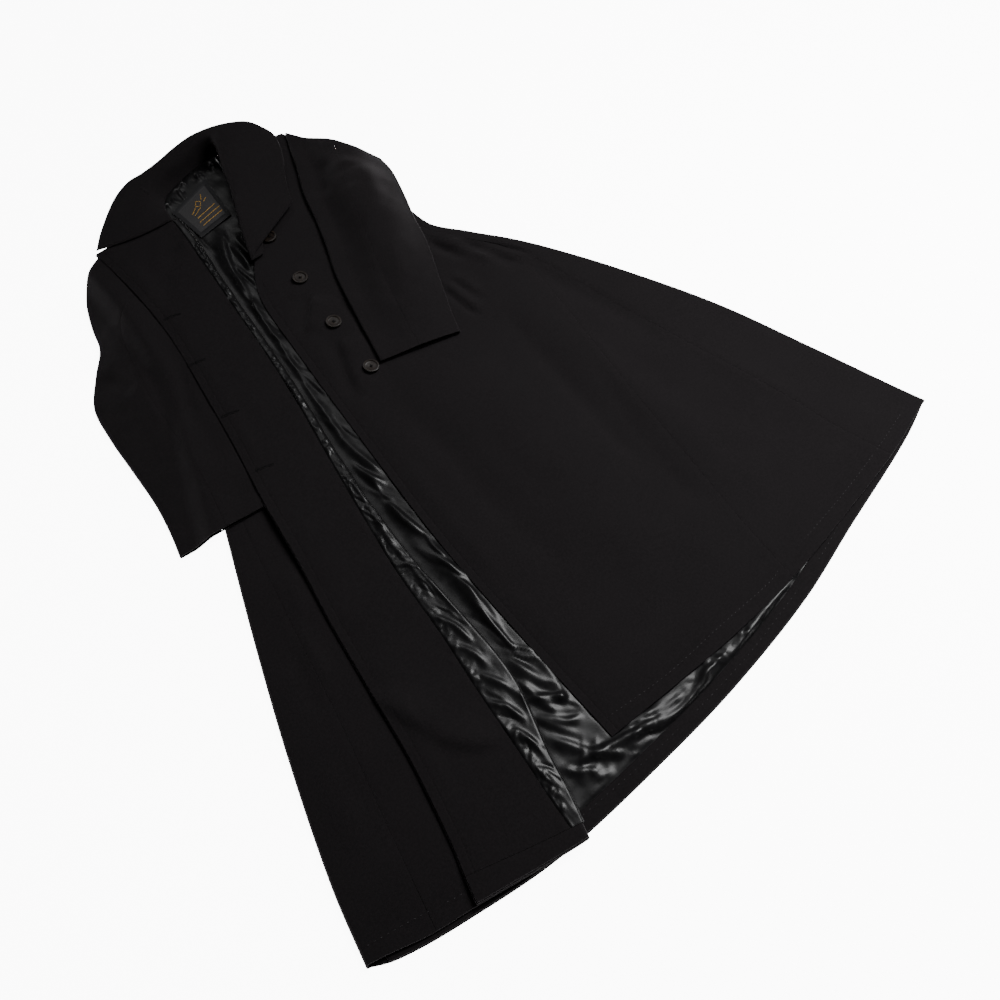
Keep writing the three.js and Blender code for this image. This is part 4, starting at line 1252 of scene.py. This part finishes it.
def make_lining_right():
    """The lining of the right front, which runs on round the roll."""
    length, row_step, step = GRIDS["lining_right"]
    t, low, _ = rows_up(length, row_step, AT_SEAM, AT_SEAM)
    x, y, near, _ = cut(line(TURNED_FRONT, "facing_seam", SEAM_GAP / 2), inside_roll,
                        above_turned_strip, turned_top, t, AT_SEAM, AT_ROLL, step)
    folds = creases_over(x, y, (RIGHT_LINING_FOLDS, 0.35), (GATHERS, 0.35), (ROLL_CREASES, 0.4))
    puckers = RIGHT_LINING_PUFF + folds + waves(x, y, RIGHT_LINING_WAVES)
    puckered = np.clip(puckers, *RIGHT_LINING_ROOM) * ease(near, *SEAM_HOLDS)
    z = turned_height(x, y) + LINING_LIFT + puckered
    last_x, last_y, last_z = x[:, -1:], y[:, -1:], z[:, -1:]
    radius = (plain_turned_height(last_y) - FRONT_Z) / 2 + WOOL / 2 + LAYER_GAP + LINING / 2
    centre_z = (plain_turned_height(last_y) + FRONT_Z) / 2
    wave = 1 + waves(last_y, ROLL_WRAP[None, :] * ROLL_WAVE_SIZE, ROLL_WAVES)
    round_x = last_x + radius * np.sin(ROLL_WRAP) * wave
    still_puckered = (last_z - centre_z - radius) * np.cos(ROLL_WRAP / ROLL_WRAP_END * pi / 2) ** 2
    wrap = stack(round_x, last_y, centre_z + radius * np.cos(ROLL_WRAP) + still_puckered)
    half = LINING / 2 * joined(thinned(near, "seam", LINING), np.ones(wrap.shape[:2]))
    sew("lining_right", joined(stack(x, y, z), wrap), half * thinned(low, "seam", LINING))


def strip_rows(depth, at_low, middle):
    """Rows up a narrow hem strip, as rows_up gives them."""
    t = np.concatenate([at_low, middle, depth - AT_SEAM[5::-1]]) / depth
    return t, *low_high(t, depth)


def make_hem_right():
    t, low, high = strip_rows(24, AT_EDGE[:7], [9, 12, 15])
    x, y, near, _ = cut(facing_edge, inside_roll, edge(RIGHT_HEM, EDGE_ROLL),
                        turned_strip_top, t, AT_EDGE, AT_FOLD, 3)
    z = turned_height(x, y) + WOOL + SEAM_GAP
    sew("hem_right", stack(x, y, z), half_wall(WOOL, (near, "free"), (low, "free"), (high, "seam")))


# ---------------------------------------------------------------- inside of the back

BACK_LINING_LENGTH = 1150
BACK_LINING_STEP = 4.1
LABEL_ROOM = 1.2
LINING_PUFF = 1.1
LINING_ROOM = 9
COVERED_ROOM = 0.9
COVER_ENDS = (-6, 3)
NECK_OPENS = (1060, 1085)
# The lining lies low in a valley along the roll: how much lower, how wide, and from where to where.
VALLEY_DEPTH = 0.8
VALLEY_SIDE = (9, 26)
VALLEY_STARTS = (190, 250)
VALLEY_ENDS = (1020, 1060)

# The turned-up hem of the back is wavy where it shows, and has a stitched groove near its top.
HEM_STRIP_SHOWS = (-262, -240)
HEM_STRIP_HIDES = (400, 430)
HEM_STRIP_WAVE = 0.35
HEM_STRIP_GROOVE = 0.2

hem_strip_top = edge(BACK_HEM, HEM_STRIP_DEPTH)


def make_hem_back():
    t, low, high = strip_rows(22.5, AT_EDGE[:6], [6, 8, 10, 12, 14, 16])
    x, y, near, far = cut(lambda y: HEM_STRIP_ENDS[0] + 0 * y, lambda y: HEM_STRIP_ENDS[1] + 0 * y,
                          edge(BACK_HEM, EDGE_ROLL), hem_strip_top, t, AT_EDGE, AT_EDGE, 5)
    shown = ease(x, *HEM_STRIP_SHOWS) * (1 - ease(x, *HEM_STRIP_HIDES))
    wavy = HEM_STRIP_WAVE * (1 + ripple(x, y, 34, 51))
    z = HEM_STRIP_Z + shown * wavy - HEM_STRIP_GROOVE * bell(high - 4, 1.2)
    half = half_wall(WOOL, (near, "free"), (far, "free"), (low, "free"), (high, "seam"))
    sew("hem_back", stack(x, y, z), half)


def in_front_opening(pick):
    """A place between the roll and the left front, with creases that run up the coat."""
    y = pick.uniform(100, 1060)
    x = mix(roll_edge(y) - 8, left_edge(y) + 4, pick.uniform(0, 1))
    return float(x), y, pi / 2 + 0.18 + (0.5 if y < 260 else 0)


def above_back_hem(pick):
    """A place on the lining below the left front, with creases that follow the hem or fan out from it."""
    x = pick.uniform(-215, 330)
    y = mix(hem_strip_top(x) + 3, left_hem(x) + 10, pick.uniform(0, 1))
    return x, float(y), pick.choice([0.12, 0.9, -0.5])


def under_the_collar(pick):
    """A place on the puckered lining between the label and the neck seam."""
    x = pick.uniform(-92, 20)
    return x, float(back_top(x)) - pick.uniform(4, 34), pi / 2 + 0.3


OPENING_CREASES = scatter(11, 74, in_front_opening, (36, 130), (2.6, 6.4), (0.6, 1.8), 0.22)
HEM_CREASES = scatter(12, 120, above_back_hem, (20, 70), (2.8, 6.0), (0.5, 1.6), 0.5)
NECK_CREASES = scatter(13, 34, under_the_collar, (14, 34), (1.8, 3.4), (0.8, 2.0), 0.4)


def lining_height(x, y):
    """The back lining. It stands up in soft folds in the open and lies flat where something lies on it."""
    past_roll = x - roll_edge(y)
    beside_front = ease(left_edge(y) - x, *COVER_ENDS)
    below_front = ease(left_hem(x) - y, *COVER_ENDS)
    at_neck = ease(y, *NECK_OPENS)
    in_open = np.maximum(np.maximum(beside_front, below_front) * ease(past_roll, *COVER_ENDS), at_neck)
    big = creased(x, y, BACK_LINING_FOLDS, 0.3)
    short = creases_over(x, y, (OPENING_CREASES, 0.4), (HEM_CREASES, 0.4), (NECK_CREASES, 0.4))
    small = waves(x, y, BACK_LINING_WAVES)
    along_roll = ease(y, *VALLEY_STARTS) * (1 - ease(y, *VALLEY_ENDS))
    valley = 1 - VALLEY_DEPTH * (1 - ease(past_roll, *VALLEY_SIDE)) * along_roll
    relief = valley * np.clip(LINING_PUFF + big + short + small, 0, LINING_ROOM) * in_open
    relief = relief + np.clip(0.3 * (big + short) + small, 0, COVERED_ROOM) * (1 - in_open)
    return LINING_Z + mix(np.minimum(relief, LABEL_ROOM), relief, beyond_label(x, y))


def beyond_label(x, y):
    """0 under the label, 1 past its edge."""
    out = np.full(np.shape(x), -1e9)
    for (ax, ay), (bx, by) in zip(LABEL_CORNERS, LABEL_CORNERS[1:] + LABEL_CORNERS[:1]):
        dx, dy = bx - ax, by - ay
        out = np.maximum(out, ((x - ax) * dy - (y - ay) * dx) / np.hypot(dx, dy))
    return ease(out, 0, 6)


def make_lining_back():
    middle = [np.arange(17.2, 140, 2.4), np.linspace(142, 1132, 240)]
    t = np.concatenate([AT_SEAM, *middle, BACK_LINING_LENGTH - AT_SEAM[::-1]]) / BACK_LINING_LENGTH
    low, high = low_high(t, BACK_LINING_LENGTH)
    x, y, _, _ = cut(line(BACK_LINING, "left"), line(BACK_LINING, "right"),
                     edge(BACK_HEM, HEM_STRIP_DEPTH + SEAM_GAP), edge(BACK_TOP, -NECK_SEAM),
                     t, AT_FOLD, AT_FOLD, BACK_LINING_STEP)
    z = mix(LINING_Z, lining_height(x, y), ease(low, 0, 5) * ease(high, 2, 20))
    sew("lining_back", stack(x, y, z), half_wall(LINING, (low, "seam")))


LABEL_BORDER = 8.0
LABEL_BORDER_RISE = 0.4
LABEL_TOP = LINING_Z + LINING / 2 + SEAM_GAP + LABEL + 2.2

# What is embroidered on it, in millimetres from its middle: each bar's place, its length and its lean.
LABEL_RULES = [(5, -6, 44, 0.0), (6, -14.5, 52, 0.0), (6, -23, 50, 0.0)]
LABEL_DIAMOND = (2, 14)
DIAMOND_SIDES = [(-3.2, 3.2, 0.8), (3.2, 3.2, -0.8), (-3.2, -3.2, -0.8), (3.2, -3.2, 0.8)]
DIAMOND_SIDE_LENGTH = 8.6
LABEL_SPRIGS = [(-13, 9, 15, 0.42), (-8, 3.5, 20, 0.25), (14, 20, 11, 0.95), (17, 12, 9, 0.3)]


def on_label(u, v):
    """A place on the label: u and v in millimetres from its middle, along its width and its height."""
    low_left, low_right, top_right, top_left = np.array(LABEL_CORNERS, float)
    across, up = u / LABEL_WIDTH + 0.5, v / LABEL_HEIGHT + 0.5

    def along(k):
        return mix(mix(low_left[k], low_right[k], across), mix(top_left[k], top_right[k], across), up)

    return along(0), along(1)


def label_heading(u, v):
    (ax, ay), (bx, by) = on_label(u - 1, v), on_label(u + 1, v)
    return np.arctan2(by - ay, bx - ax)


def label_height(u, v):
    return LABEL_TOP - LABEL / 2 + 0.5 * np.sin(u / 19 + 0.6) + 0.35 * np.cos(v / 15)


def make_label():
    def steps(size):
        border = [LABEL_BORDER - 0.4, LABEL_BORDER + 0.4, LABEL_BORDER + 1.2]
        rim = np.array([0, 0.2, 0.5, 1.0, 2.5, 4.5, *border])
        middle = np.linspace(-size / 2 + rim[-1], size / 2 - rim[-1], 30)[1:-1]
        return np.concatenate([-size / 2 + rim, middle, size / 2 - rim[::-1]])

    u, v = np.meshgrid(steps(LABEL_WIDTH), steps(LABEL_HEIGHT))
    inside = np.minimum(LABEL_WIDTH / 2 - np.abs(u), LABEL_HEIGHT / 2 - np.abs(v))
    raised = LABEL_BORDER_RISE * (1 - ease(inside, LABEL_BORDER - 0.5, LABEL_BORDER + 0.5))
    points = stack(*on_label(u, v), label_height(u, v))
    piece = sew("label", points, half_wall(LABEL, (inside, "free")), raised)
    piece.data.materials.append(label_border)
    for polygon in piece.data.polygons:
        corners = [inside.ravel()[i % inside.size] for i in polygon.vertices]
        polygon.material_index = int(min(corners) < LABEL_BORDER - 0.1)
    middle_u, middle_v = LABEL_DIAMOND
    diamond = [(middle_u + du, middle_v + dv, DIAMOND_SIDE_LENGTH, lean) for du, dv, lean in DIAMOND_SIDES]
    for kind, bars in (("rule", LABEL_RULES), ("diamond", diamond), ("sprig", LABEL_SPRIGS)):
        for k, bar in enumerate(bars):
            embroidered_bar(f"label_{kind}_{k + 1}", *bar)


STITCH_SPACING = 0.62
STITCH_LEAN = 1.35


def embroidered_bar(name, u, v, length, lean):
    """A bar of satin stitch: a row of short threads laid side by side across it."""
    count = int(length / STITCH_SPACING)
    places = []
    for i in range(count):
        along = (i + 0.5) * length / count - length / 2
        at_u, at_v = u + along * cos(lean), v + along * sin(lean)
        x, y = on_label(at_u, at_v)
        turn = label_heading(at_u, at_v)
        z = float(label_height(at_u, at_v)) + LABEL / 2 + 0.12
        places.append((x, y, z, turn + lean + STITCH_LEAN))
    bar = lay_threads(name, places, 0.34, 1.7, gold_thread)


# ---------------------------------------------------------------- threads and stitches

def deselect_all():
    bpy.ops.object.select_all(action="DESELECT")


def choose(piece):
    """Makes the piece the only one that an operator acts on."""
    deselect_all()
    piece.select_set(True)
    bpy.context.view_layer.objects.active = piece


def apply_modifiers(piece):
    choose(piece)
    for modifier in list(piece.modifiers):
        bpy.ops.object.modifier_apply(modifier=modifier.name)


def make_thread_model():
    """A short fat thread, one unit long, wide and high, as points and four-cornered faces."""
    deselect_all()
    bpy.ops.mesh.primitive_cube_add(size=1, location=(0, 0, 0))
    thread = bpy.context.active_object
    round_off = thread.modifiers.new("round_off", "SUBSURF")
    round_off.levels = round_off.render_levels = 1
    apply_modifiers(thread)
    points = np.array([tuple(v.co) for v in thread.data.vertices])
    points /= np.abs(points).max(axis=0) * 2
    corners = np.array([tuple(f.vertices) for f in thread.data.polygons])
    bpy.data.objects.remove(thread)
    return points, corners


THREAD_POINTS, THREAD_FACES = make_thread_model()
THREAD_FLATNESS = 1.4


def lay_threads(name, places, radius, length, finish):
    """Copies one short thread to every place (x, y, z and heading) and keeps them as one piece."""
    size = (length * MM, 2 * radius * MM, THREAD_FLATNESS * radius * MM)
    along, across, up = (THREAD_POINTS * size).T
    points, faces = [], []
    for k, (x, y, z, heading) in enumerate(places):
        c, s = cos(heading), sin(heading)
        turned = np.stack([along * c - across * s, along * s + across * c, up], 1)
        points.append(turned + (np.array([x, y, z]) + SHIFT) * MM)
        faces.append(THREAD_FACES + k * len(THREAD_POINTS))
    points, faces = np.vstack(points), np.vstack(faces)
    mesh = bpy.data.meshes.new(name)
    mesh.from_pydata(points.tolist(), [], faces.tolist())
    mesh.polygons.foreach_set("use_smooth", np.ones(len(faces), bool))
    mesh.update()
    piece = bpy.data.objects.new(name, mesh)
    bpy.context.scene.collection.objects.link(piece)
    piece.data.materials.append(finish)
    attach(piece, "root")
    return piece


STITCH_STRAY = 0.12
STITCH_RADIUS = 0.28


def stitch_line(name, points, height, spacing, length):
    """Catch stitches at even steps along a line, each a little askew."""
    pick = np.random.RandomState(len(name))
    p = curve(points, 12)[:, :2]
    run = np.concatenate([[0], np.cumsum(np.linalg.norm(np.diff(p, axis=0), axis=1))])
    at = np.arange(spacing / 2, run[-1], spacing)
    x, y = np.interp(at, run, p[:, 0]), np.interp(at, run, p[:, 1])
    ahead_x, ahead_y = np.interp(at + 1, run, p[:, 0]), np.interp(at + 1, run, p[:, 1])
    heading = np.arctan2(ahead_y - y, ahead_x - x)
    places = [(*place, h + pick.uniform(-STITCH_STRAY, STITCH_STRAY))
              for *place, h in zip(x, y, height(x, y), heading)]
    lay_threads(name, places, STITCH_RADIUS, length, pale_thread)


LEFT_HEM_STITCHES = [
    (-146, 91), (-53, 83), (45, 85), (137, 86), (175, 93), (306, 110), (399, 127), (470, 143),
]
LOWER_HEM_STITCHES = [(-518, 74), (-460, 62), (-407, 49), (-340, 36)]
BACK_HEM_STITCHES = [(-246, 25), (-148, 24), (-66, 27), (35, 35), (122, 49), (214, 68), (300, 92)]
BUTTONHOLE_LENGTH = 25.0
BUTTONHOLE_LEAN = -0.30
PURL_SPACING = 0.75
PURL_ROW = 1.15
PURL_LEAN = 0.15
BAR_THREADS = (-0.7, 0, 0.7)
HEM_STRIP_LIFT = 0.4


def front_top(x, y):
    return front_height(x, y) + hem_marks(x, y, y - left_hem(x)) + WOOL / 2


def lower_top(x, y):
    return lower_height(x, y) + hem_marks(x, y, y - right_hem(x)) + WOOL / 2


def strip_top(x, _):
    return HEM_STRIP_Z + HEM_STRIP_LIFT + WOOL / 2 + 0 * x


def make_stitches():
    stitch_line("left_hem_stitches", LEFT_HEM_STITCHES, front_top, 7.0, 2.6)
    stitch_line("lower_hem_stitches", LOWER_HEM_STITCHES, lower_top, 8.0, 2.4)
    stitch_line("back_hem_stitches", BACK_HEM_STITCHES, strip_top, 9.0, 2.4)


def buttonhole_threads():
    """Where the threads of a buttonhole lie: along it, across it and their heading."""
    half = BUTTONHOLE_LENGTH / 2
    steps = np.arange(-half, half, PURL_SPACING)
    rows = [(along, side * PURL_ROW, pi / 2 + PURL_LEAN * side) for side in (-1, 1) for along in steps]
    bars = [(end * half, across, 0.0) for end in (-1, 1) for across in BAR_THREADS]
    return rows + bars


def make_buttonholes():
    """Worked buttonholes: two close rows of purl stitches with a bar at each end, round a dark slit."""
    c, s = cos(BUTTONHOLE_LEAN), sin(BUTTONHOLE_LEAN)
    for k, (x, y) in enumerate(BUTTONHOLES):
        laid = []
        for along, across, heading in buttonhole_threads():
            at_x, at_y = x + along * c - across * s, y + along * s + across * c
            z = float(turned_height(np.array([at_x]), np.array([at_y]))[0]) + FACING_LIFT + FACING / 2 + 0.1
            laid.append((at_x, at_y, z, heading + BUTTONHOLE_LEAN))
        lay_threads(f"buttonhole_{k + 1}", laid, 0.42, 1.9, black_thread)


# ---------------------------------------------------------------- sleeves

SLEEVE_ROW_STEP = 4.0
TUBE_TURN = np.linspace(0, pi, 13)[None, 1:-1]
TOP_COLUMNS = np.linspace(0, 1, 18)[None, :]
UNDER_COLUMNS = np.linspace(0, 1, 11)[None, :]
SLEEVE_SEAM_REACH = 40
SLEEVE_MIDDLE = 0.5
# Creases fade to this share at the cuff, over this distance, and never press a sleeve in past its depth.
CUFF_CREASES = 0.3
CUFF_CREASES_FADE = 40
DEEPEST_CREASE = 0.55
CUFF_STITCH_LINE = 30
CUFF_STITCH_DEPTH = 0.25


def sleeve_swell(share):
    """How full a sleeve is across its width: nothing at its sides and most where share is half."""
    full = 1 - (1 - ease(share, -0.25, 0.6)) ** 2
    return 0.5 * np.sin(pi * share) ** 1.3 + 0.5 * full * (1 - ease(share, 0.55, 1))


def outer_half(width, seam, puffed):
    """Columns of a sleeve's outer half: from the middle of its underside, round its side, to the top seam."""
    middle, gap = SLEEVE_MIDDLE * width, PRESSED_GAP / 2
    under_d = mix(middle - gap, TUBE_END + 0 * width, UNDER_COLUMNS)
    side_d = TUBE_END - TUBE_SIDE * np.sin(TUBE_TURN) + 0 * width
    at_seam = seam - gap - AT_SEAM[None, ::-1] * np.minimum(1, seam / SLEEVE_SEAM_REACH)
    top_d = np.hstack([mix(TUBE_END + 0 * width, at_seam[:, :1], TOP_COLUMNS[:, :-1]), at_seam])
    side_rise = puffed(TUBE_END) * (1 - np.cos(TUBE_TURN)) / 2
    away = [np.abs(middle - under_d), np.full(side_d.shape, AWAY_FROM_SEAMS), seam - top_d]
    return [under_d, side_d, top_d], [0 * under_d, side_rise, puffed(top_d)], away


def inner_half(width, seam, puffed):
    """Columns of a sleeve's inner half: from the top seam, round its side, back to the middle underneath."""
    middle, gap, rest = SLEEVE_MIDDLE * width, PRESSED_GAP / 2, width - TUBE_END
    at_seam = seam + gap + AT_SEAM[None, :] * np.minimum(1, (width - seam) / SLEEVE_SEAM_REACH)
    top_d = np.hstack([at_seam, mix(at_seam[:, -1:], rest, TOP_COLUMNS[:, 1:])])
    side_d = rest + TUBE_SIDE * np.sin(TUBE_TURN)
    under_d = mix(rest, middle + gap, UNDER_COLUMNS)
    side_rise = puffed(rest) * (1 + np.cos(TUBE_TURN)) / 2
    away = [top_d - seam, np.full(side_d.shape, AWAY_FROM_SEAMS), np.abs(under_d - middle)]
    return [top_d, side_d, under_d], [puffed(top_d), side_rise, 0 * under_d], away


def make_sleeve(name, rows, ground, creases, half_of_it):
    """One half of a sleeve as it lies flat. The two halves of a sleeve stand round its hollow."""
    index = np.arange(len(rows["puff"]), dtype=float)
    mid_x, mid_y = (rows["out_x"] + rows["in_x"]) / 2, (rows["out_y"] + rows["in_y"]) / 2
    run = np.concatenate([[0], np.cumsum(np.hypot(np.diff(mid_x), np.diff(mid_y)))])
    length = run[-1]
    count = int((length - AT_SEAM[-1] - AT_EDGE[-1]) / SLEEVE_ROW_STEP)
    middle = np.linspace(AT_SEAM[-1], length - AT_EDGE[-1], count + 1)[1:-1]
    down = np.concatenate([AT_SEAM, middle, length - AT_EDGE[::-1]])[:, None]
    at = np.interp(down, run, index)
    numbered = dict(rows, row=index)
    out_x, out_y, in_x, in_y, seam, puff = (smooth(numbered, "row", key, at)
                                            for key in ("out_x", "out_y", "in_x", "in_y", "seam", "puff"))
    width = np.hypot(out_x - in_x, out_y - in_y)

    def puffed(d):
        return TUBE_DEPTH + np.maximum(puff, 0) * sleeve_swell(np.clip(d / width / PUFF_REACH, 0, 1))

    d, rise, away = (np.hstack(columns) for columns in half_of_it(width, seam * width, puffed))
    x, y = mix(out_x, in_x, d / width), mix(out_y, in_y, d / width)
    high_share = np.clip(rise / np.maximum(puffed(d), 0.1), 0, 1)
    to_cuff = length - down
    detail = (creased(x, y, creases) + waves(x, y, SLEEVE_WAVES)) * high_share
    detail *= mix(CUFF_CREASES, 1, ease(to_cuff, 0, CUFF_CREASES_FADE))
    marks = (seam_swell(away) - CUFF_STITCH_DEPTH * bell(to_cuff - CUFF_STITCH_LINE, 1.5)) * high_share
    z = ground(x, y) + WOOL / 2 + rise + np.maximum(detail, -DEEPEST_CREASE * rise) + marks
    sew(name, stack(x, y, z), half_wall(WOOL, (away, "seam"), (to_cuff, "free"), (down, "seam")))


# ---------------------------------------------------------------- collar

COLLAR_COLUMNS = 34
AT_COLLAR_EDGE = np.array([0, 0.3, 0.9, 1.8, 3.0, 4.4, 5.2, 6.0, 6.8, 8.0, 10])
COLLAR_STITCH_LINE = 5.6
COLLAR_STITCH_DEPTH = 0.35
COLLAR_STITCH_WIDTH = 0.8


def make_collar():
    across = np.stack([curve(section, 16) for section in COLLAR_SECTIONS])
    fine = np.stack([curve(across[:, i], 12) for i in range(across.shape[1])], 1)
    share = np.linspace(0, 1, COLLAR_COLUMNS)
    rows = []
    for row, run in zip(fine, walked(fine, 1)):
        width = run[-1]
        d = np.concatenate([share * (width - AT_COLLAR_EDGE[-1]), (width - AT_COLLAR_EDGE[::-1])[1:]])
        rows.append(np.stack([np.interp(d, run, row[:, k]) for k in range(3)], 1))
    points = np.stack(rows)
    from_neck, from_end = walked(points, 1), walked(points, 0)
    to_edge = from_neck[:, -1:] - from_neck
    to_end = np.minimum(from_end, from_end[-1:] - from_end)
    relief = creased(points[..., 0], points[..., 1], COLLAR_CREASES)
    for away in (to_edge, to_end):
        relief -= COLLAR_STITCH_DEPTH * bell(away - COLLAR_STITCH_LINE, COLLAR_STITCH_WIDTH)
    half = half_wall(COLLAR, (to_edge, "free"), (to_end, "free"), (from_neck, "seam"))
    sew("collar", points, half, relief)


# ---------------------------------------------------------------- buttons

# Sizes of the buttons and their thread, in metres.
BUTTON_RADIUS = 0.0114
BUTTON_HEIGHT = 0.0038
BUTTON_INSETS = [(0.0022, 0.0002), (0.0009, -0.0012), (0.0024, -0.0004)]
BUTTON_BACK_INSET = 0.0016
BUTTON_ROUNDING = 0.00042
RIM_START = 0.0088
RIM_LOW = 0.0022
HOLE_RADIUS = 0.00105
HOLE_PLACE = 0.0019
STRAND_RADIUS = 0.00034
STRAND_LENGTH = 0.0040
STRAND_SPACING = 0.00058
STRAND_HEIGHT = 0.00275
STRAND_CROSSING = 0.0004
STRAND_ROUNDING = 0.00018
# How far from its middle a button touches the cloth, and its height over it, in millimetres.
BUTTON_FOOT = 9.0
BUTTON_GAP = 0.25


def edit_faces(piece, wanted):
    """Goes into edit mode with only the wanted faces selected."""
    bpy.ops.object.mode_set(mode="EDIT")
    bpy.ops.mesh.select_all(action="DESELECT")
    bpy.ops.object.mode_set(mode="OBJECT")
    for polygon in piece.data.polygons:
        polygon.select = wanted(polygon)
    bpy.ops.object.mode_set(mode="EDIT")
    bpy.ops.mesh.select_mode(type="FACE")


def pierce(button):
    """Cuts the four holes."""
    for i in range(4):
        angle = pi / 4 + i * pi / 2
        place = (HOLE_PLACE * cos(angle), HOLE_PLACE * sin(angle), 0.002)
        bpy.ops.mesh.primitive_cylinder_add(vertices=16, radius=HOLE_RADIUS, depth=0.012, location=place)
        hole = bpy.context.active_object
        cut_hole = button.modifiers.new("cut_hole", "BOOLEAN")
        cut_hole.operation, cut_hole.object, cut_hole.solver = "DIFFERENCE", hole, "EXACT"
        apply_modifiers(button)
        bpy.data.objects.remove(hole)


def make_button_blank():
    """A four-hole coat button, turned from a disc: a dished face inside a raised rim."""
    deselect_all()
    bpy.ops.mesh.primitive_cylinder_add(vertices=56, radius=BUTTON_RADIUS, depth=BUTTON_HEIGHT,
                                        location=(0, 0, BUTTON_HEIGHT / 2))
    button = bpy.context.active_object
    edit_faces(button, lambda face: face.normal.z > 0.9)
    for thickness, depth in BUTTON_INSETS:
        bpy.ops.mesh.inset(thickness=thickness, depth=depth)
    bpy.ops.object.mode_set(mode="OBJECT")
    edit_faces(button, lambda face: face.normal.z < -0.9)
    bpy.ops.mesh.inset(thickness=BUTTON_BACK_INSET, depth=0.0)
    bpy.ops.object.mode_set(mode="OBJECT")
    pierce(button)
    soften = button.modifiers.new("soften", "BEVEL")
    soften.width, soften.segments = BUTTON_ROUNDING, 3
    soften.limit_method, soften.angle_limit = "ANGLE", radians(28)
    apply_modifiers(button)
    bpy.ops.object.shade_smooth_by_angle(angle=radians(50))
    button.data.materials.append(dark_horn)
    button.data.materials.append(bronze_rim)
    for polygon in button.data.polygons:
        out = (polygon.center.x ** 2 + polygon.center.y ** 2) ** 0.5
        polygon.material_index = int(out > RIM_START and polygon.center.z > RIM_LOW)
    return button


def make_strand(place, turn):
    """One strand of the button thread: a rod laid flat at its place in the bar, then turned with it."""
    deselect_all()
    bpy.ops.mesh.primitive_cylinder_add(vertices=8, radius=STRAND_RADIUS, depth=STRAND_LENGTH,
                                        location=(0, 0, 0))
    strand = bpy.context.active_object
    bpy.ops.object.mode_set(mode="EDIT")
    bpy.ops.mesh.select_all(action="SELECT")
    bpy.ops.transform.rotate(value=pi / 2, orient_axis="X", center_override=(0, 0, 0))
    bpy.ops.transform.translate(value=place)
    bpy.ops.transform.rotate(value=turn, orient_axis="Z", center_override=(0, 0, 0))
    bpy.ops.object.mode_set(mode="OBJECT")
    soft_ends = strand.modifiers.new("soft_ends", "BEVEL")
    soft_ends.width, soft_ends.segments = STRAND_ROUNDING, 2
    apply_modifiers(strand)
    return strand


def make_thread_cross():
    """The thread through the four holes: two crossed bars of three strands."""
    strands = []
    for turn, height in ((pi / 4, STRAND_HEIGHT), (3 * pi / 4, STRAND_HEIGHT + STRAND_CROSSING)):
        for k in (-1, 0, 1):
            strands.append(make_strand((k * STRAND_SPACING, 0, height), turn))
    choose(strands[0])
    for strand in strands:
        strand.select_set(True)
    bpy.ops.object.join()
    cross = bpy.context.active_object
    bpy.ops.object.shade_smooth_by_angle(angle=radians(60))
    cross.data.materials.append(black_thread)
    return cross


def place_copy(model, name, matrix):
    copy = model.copy()
    copy.data = model.data.copy()
    copy.name = name
    copy.data.transform(matrix)
    bpy.context.scene.collection.objects.link(copy)
    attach(copy, "root")
    return copy


def on_the_front(x, y):
    """A place for a button: on the highest cloth under it and tilted with it."""
    foot = BUTTON_FOOT
    at = np.array([[x - foot, y], [x + foot, y], [x, y - foot], [x, y + foot], [x, y]], float)
    z = front_height(at[:, 0], at[:, 1])
    slope_x, slope_y = (z[1] - z[0]) / (2 * foot), (z[3] - z[2]) / (2 * foot)
    lift = max(z) + WOOL / 2 + BUTTON_GAP
    tilt = Matrix.Rotation(np.arctan(slope_y), 4, "X") @ Matrix.Rotation(-np.arctan(slope_x), 4, "Y")
    return Matrix.Translation([(x + SHIFT[0]) * MM, (y + SHIFT[1]) * MM, lift * MM]) @ tilt


def make_buttons():
    blank, cross = make_button_blank(), make_thread_cross()
    for model in (blank, cross):
        choose(model)
        bpy.ops.object.transform_apply(location=True, rotation=True, scale=True)
    for i, (x, y) in enumerate(BUTTON_PLACES):
        place = on_the_front(x, y) @ Matrix.Rotation(0.3 + 0.7 * i, 4, "Z")
        button = place_copy(blank, f"sewn_button_{i + 1}", place)
        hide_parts(f"button_{i + 1}")
        place_copy(cross, f"button_thread_{i + 1}", place)
    bpy.data.objects.remove(blank)
    bpy.data.objects.remove(cross)


# ---------------------------------------------------------------- the whole coat

set_camera()
set_light()
lay_floor()

make_back_right()
make_back_left()
make_side_right()
make_side_left()
make_front_right()
make_front_left()
make_hem_back()
make_hem_right()
make_facing()
make_lining_back()
make_lining_right()
make_label()
make_stitches()
make_buttonholes()
make_sleeve("sleeve_right_under", RIGHT_SLEEVE, under_right_sleeve, RIGHT_SLEEVE_CREASES, outer_half)
make_sleeve("sleeve_right_top", RIGHT_SLEEVE, under_right_sleeve, RIGHT_SLEEVE_CREASES, inner_half)
make_sleeve("sleeve_left_under", LEFT_SLEEVE, under_left_sleeve, LEFT_SLEEVE_CREASES, outer_half)
make_sleeve("sleeve_left_top", LEFT_SLEEVE, under_left_sleeve, LEFT_SLEEVE_CREASES, inner_half)
make_collar()
make_buttons()
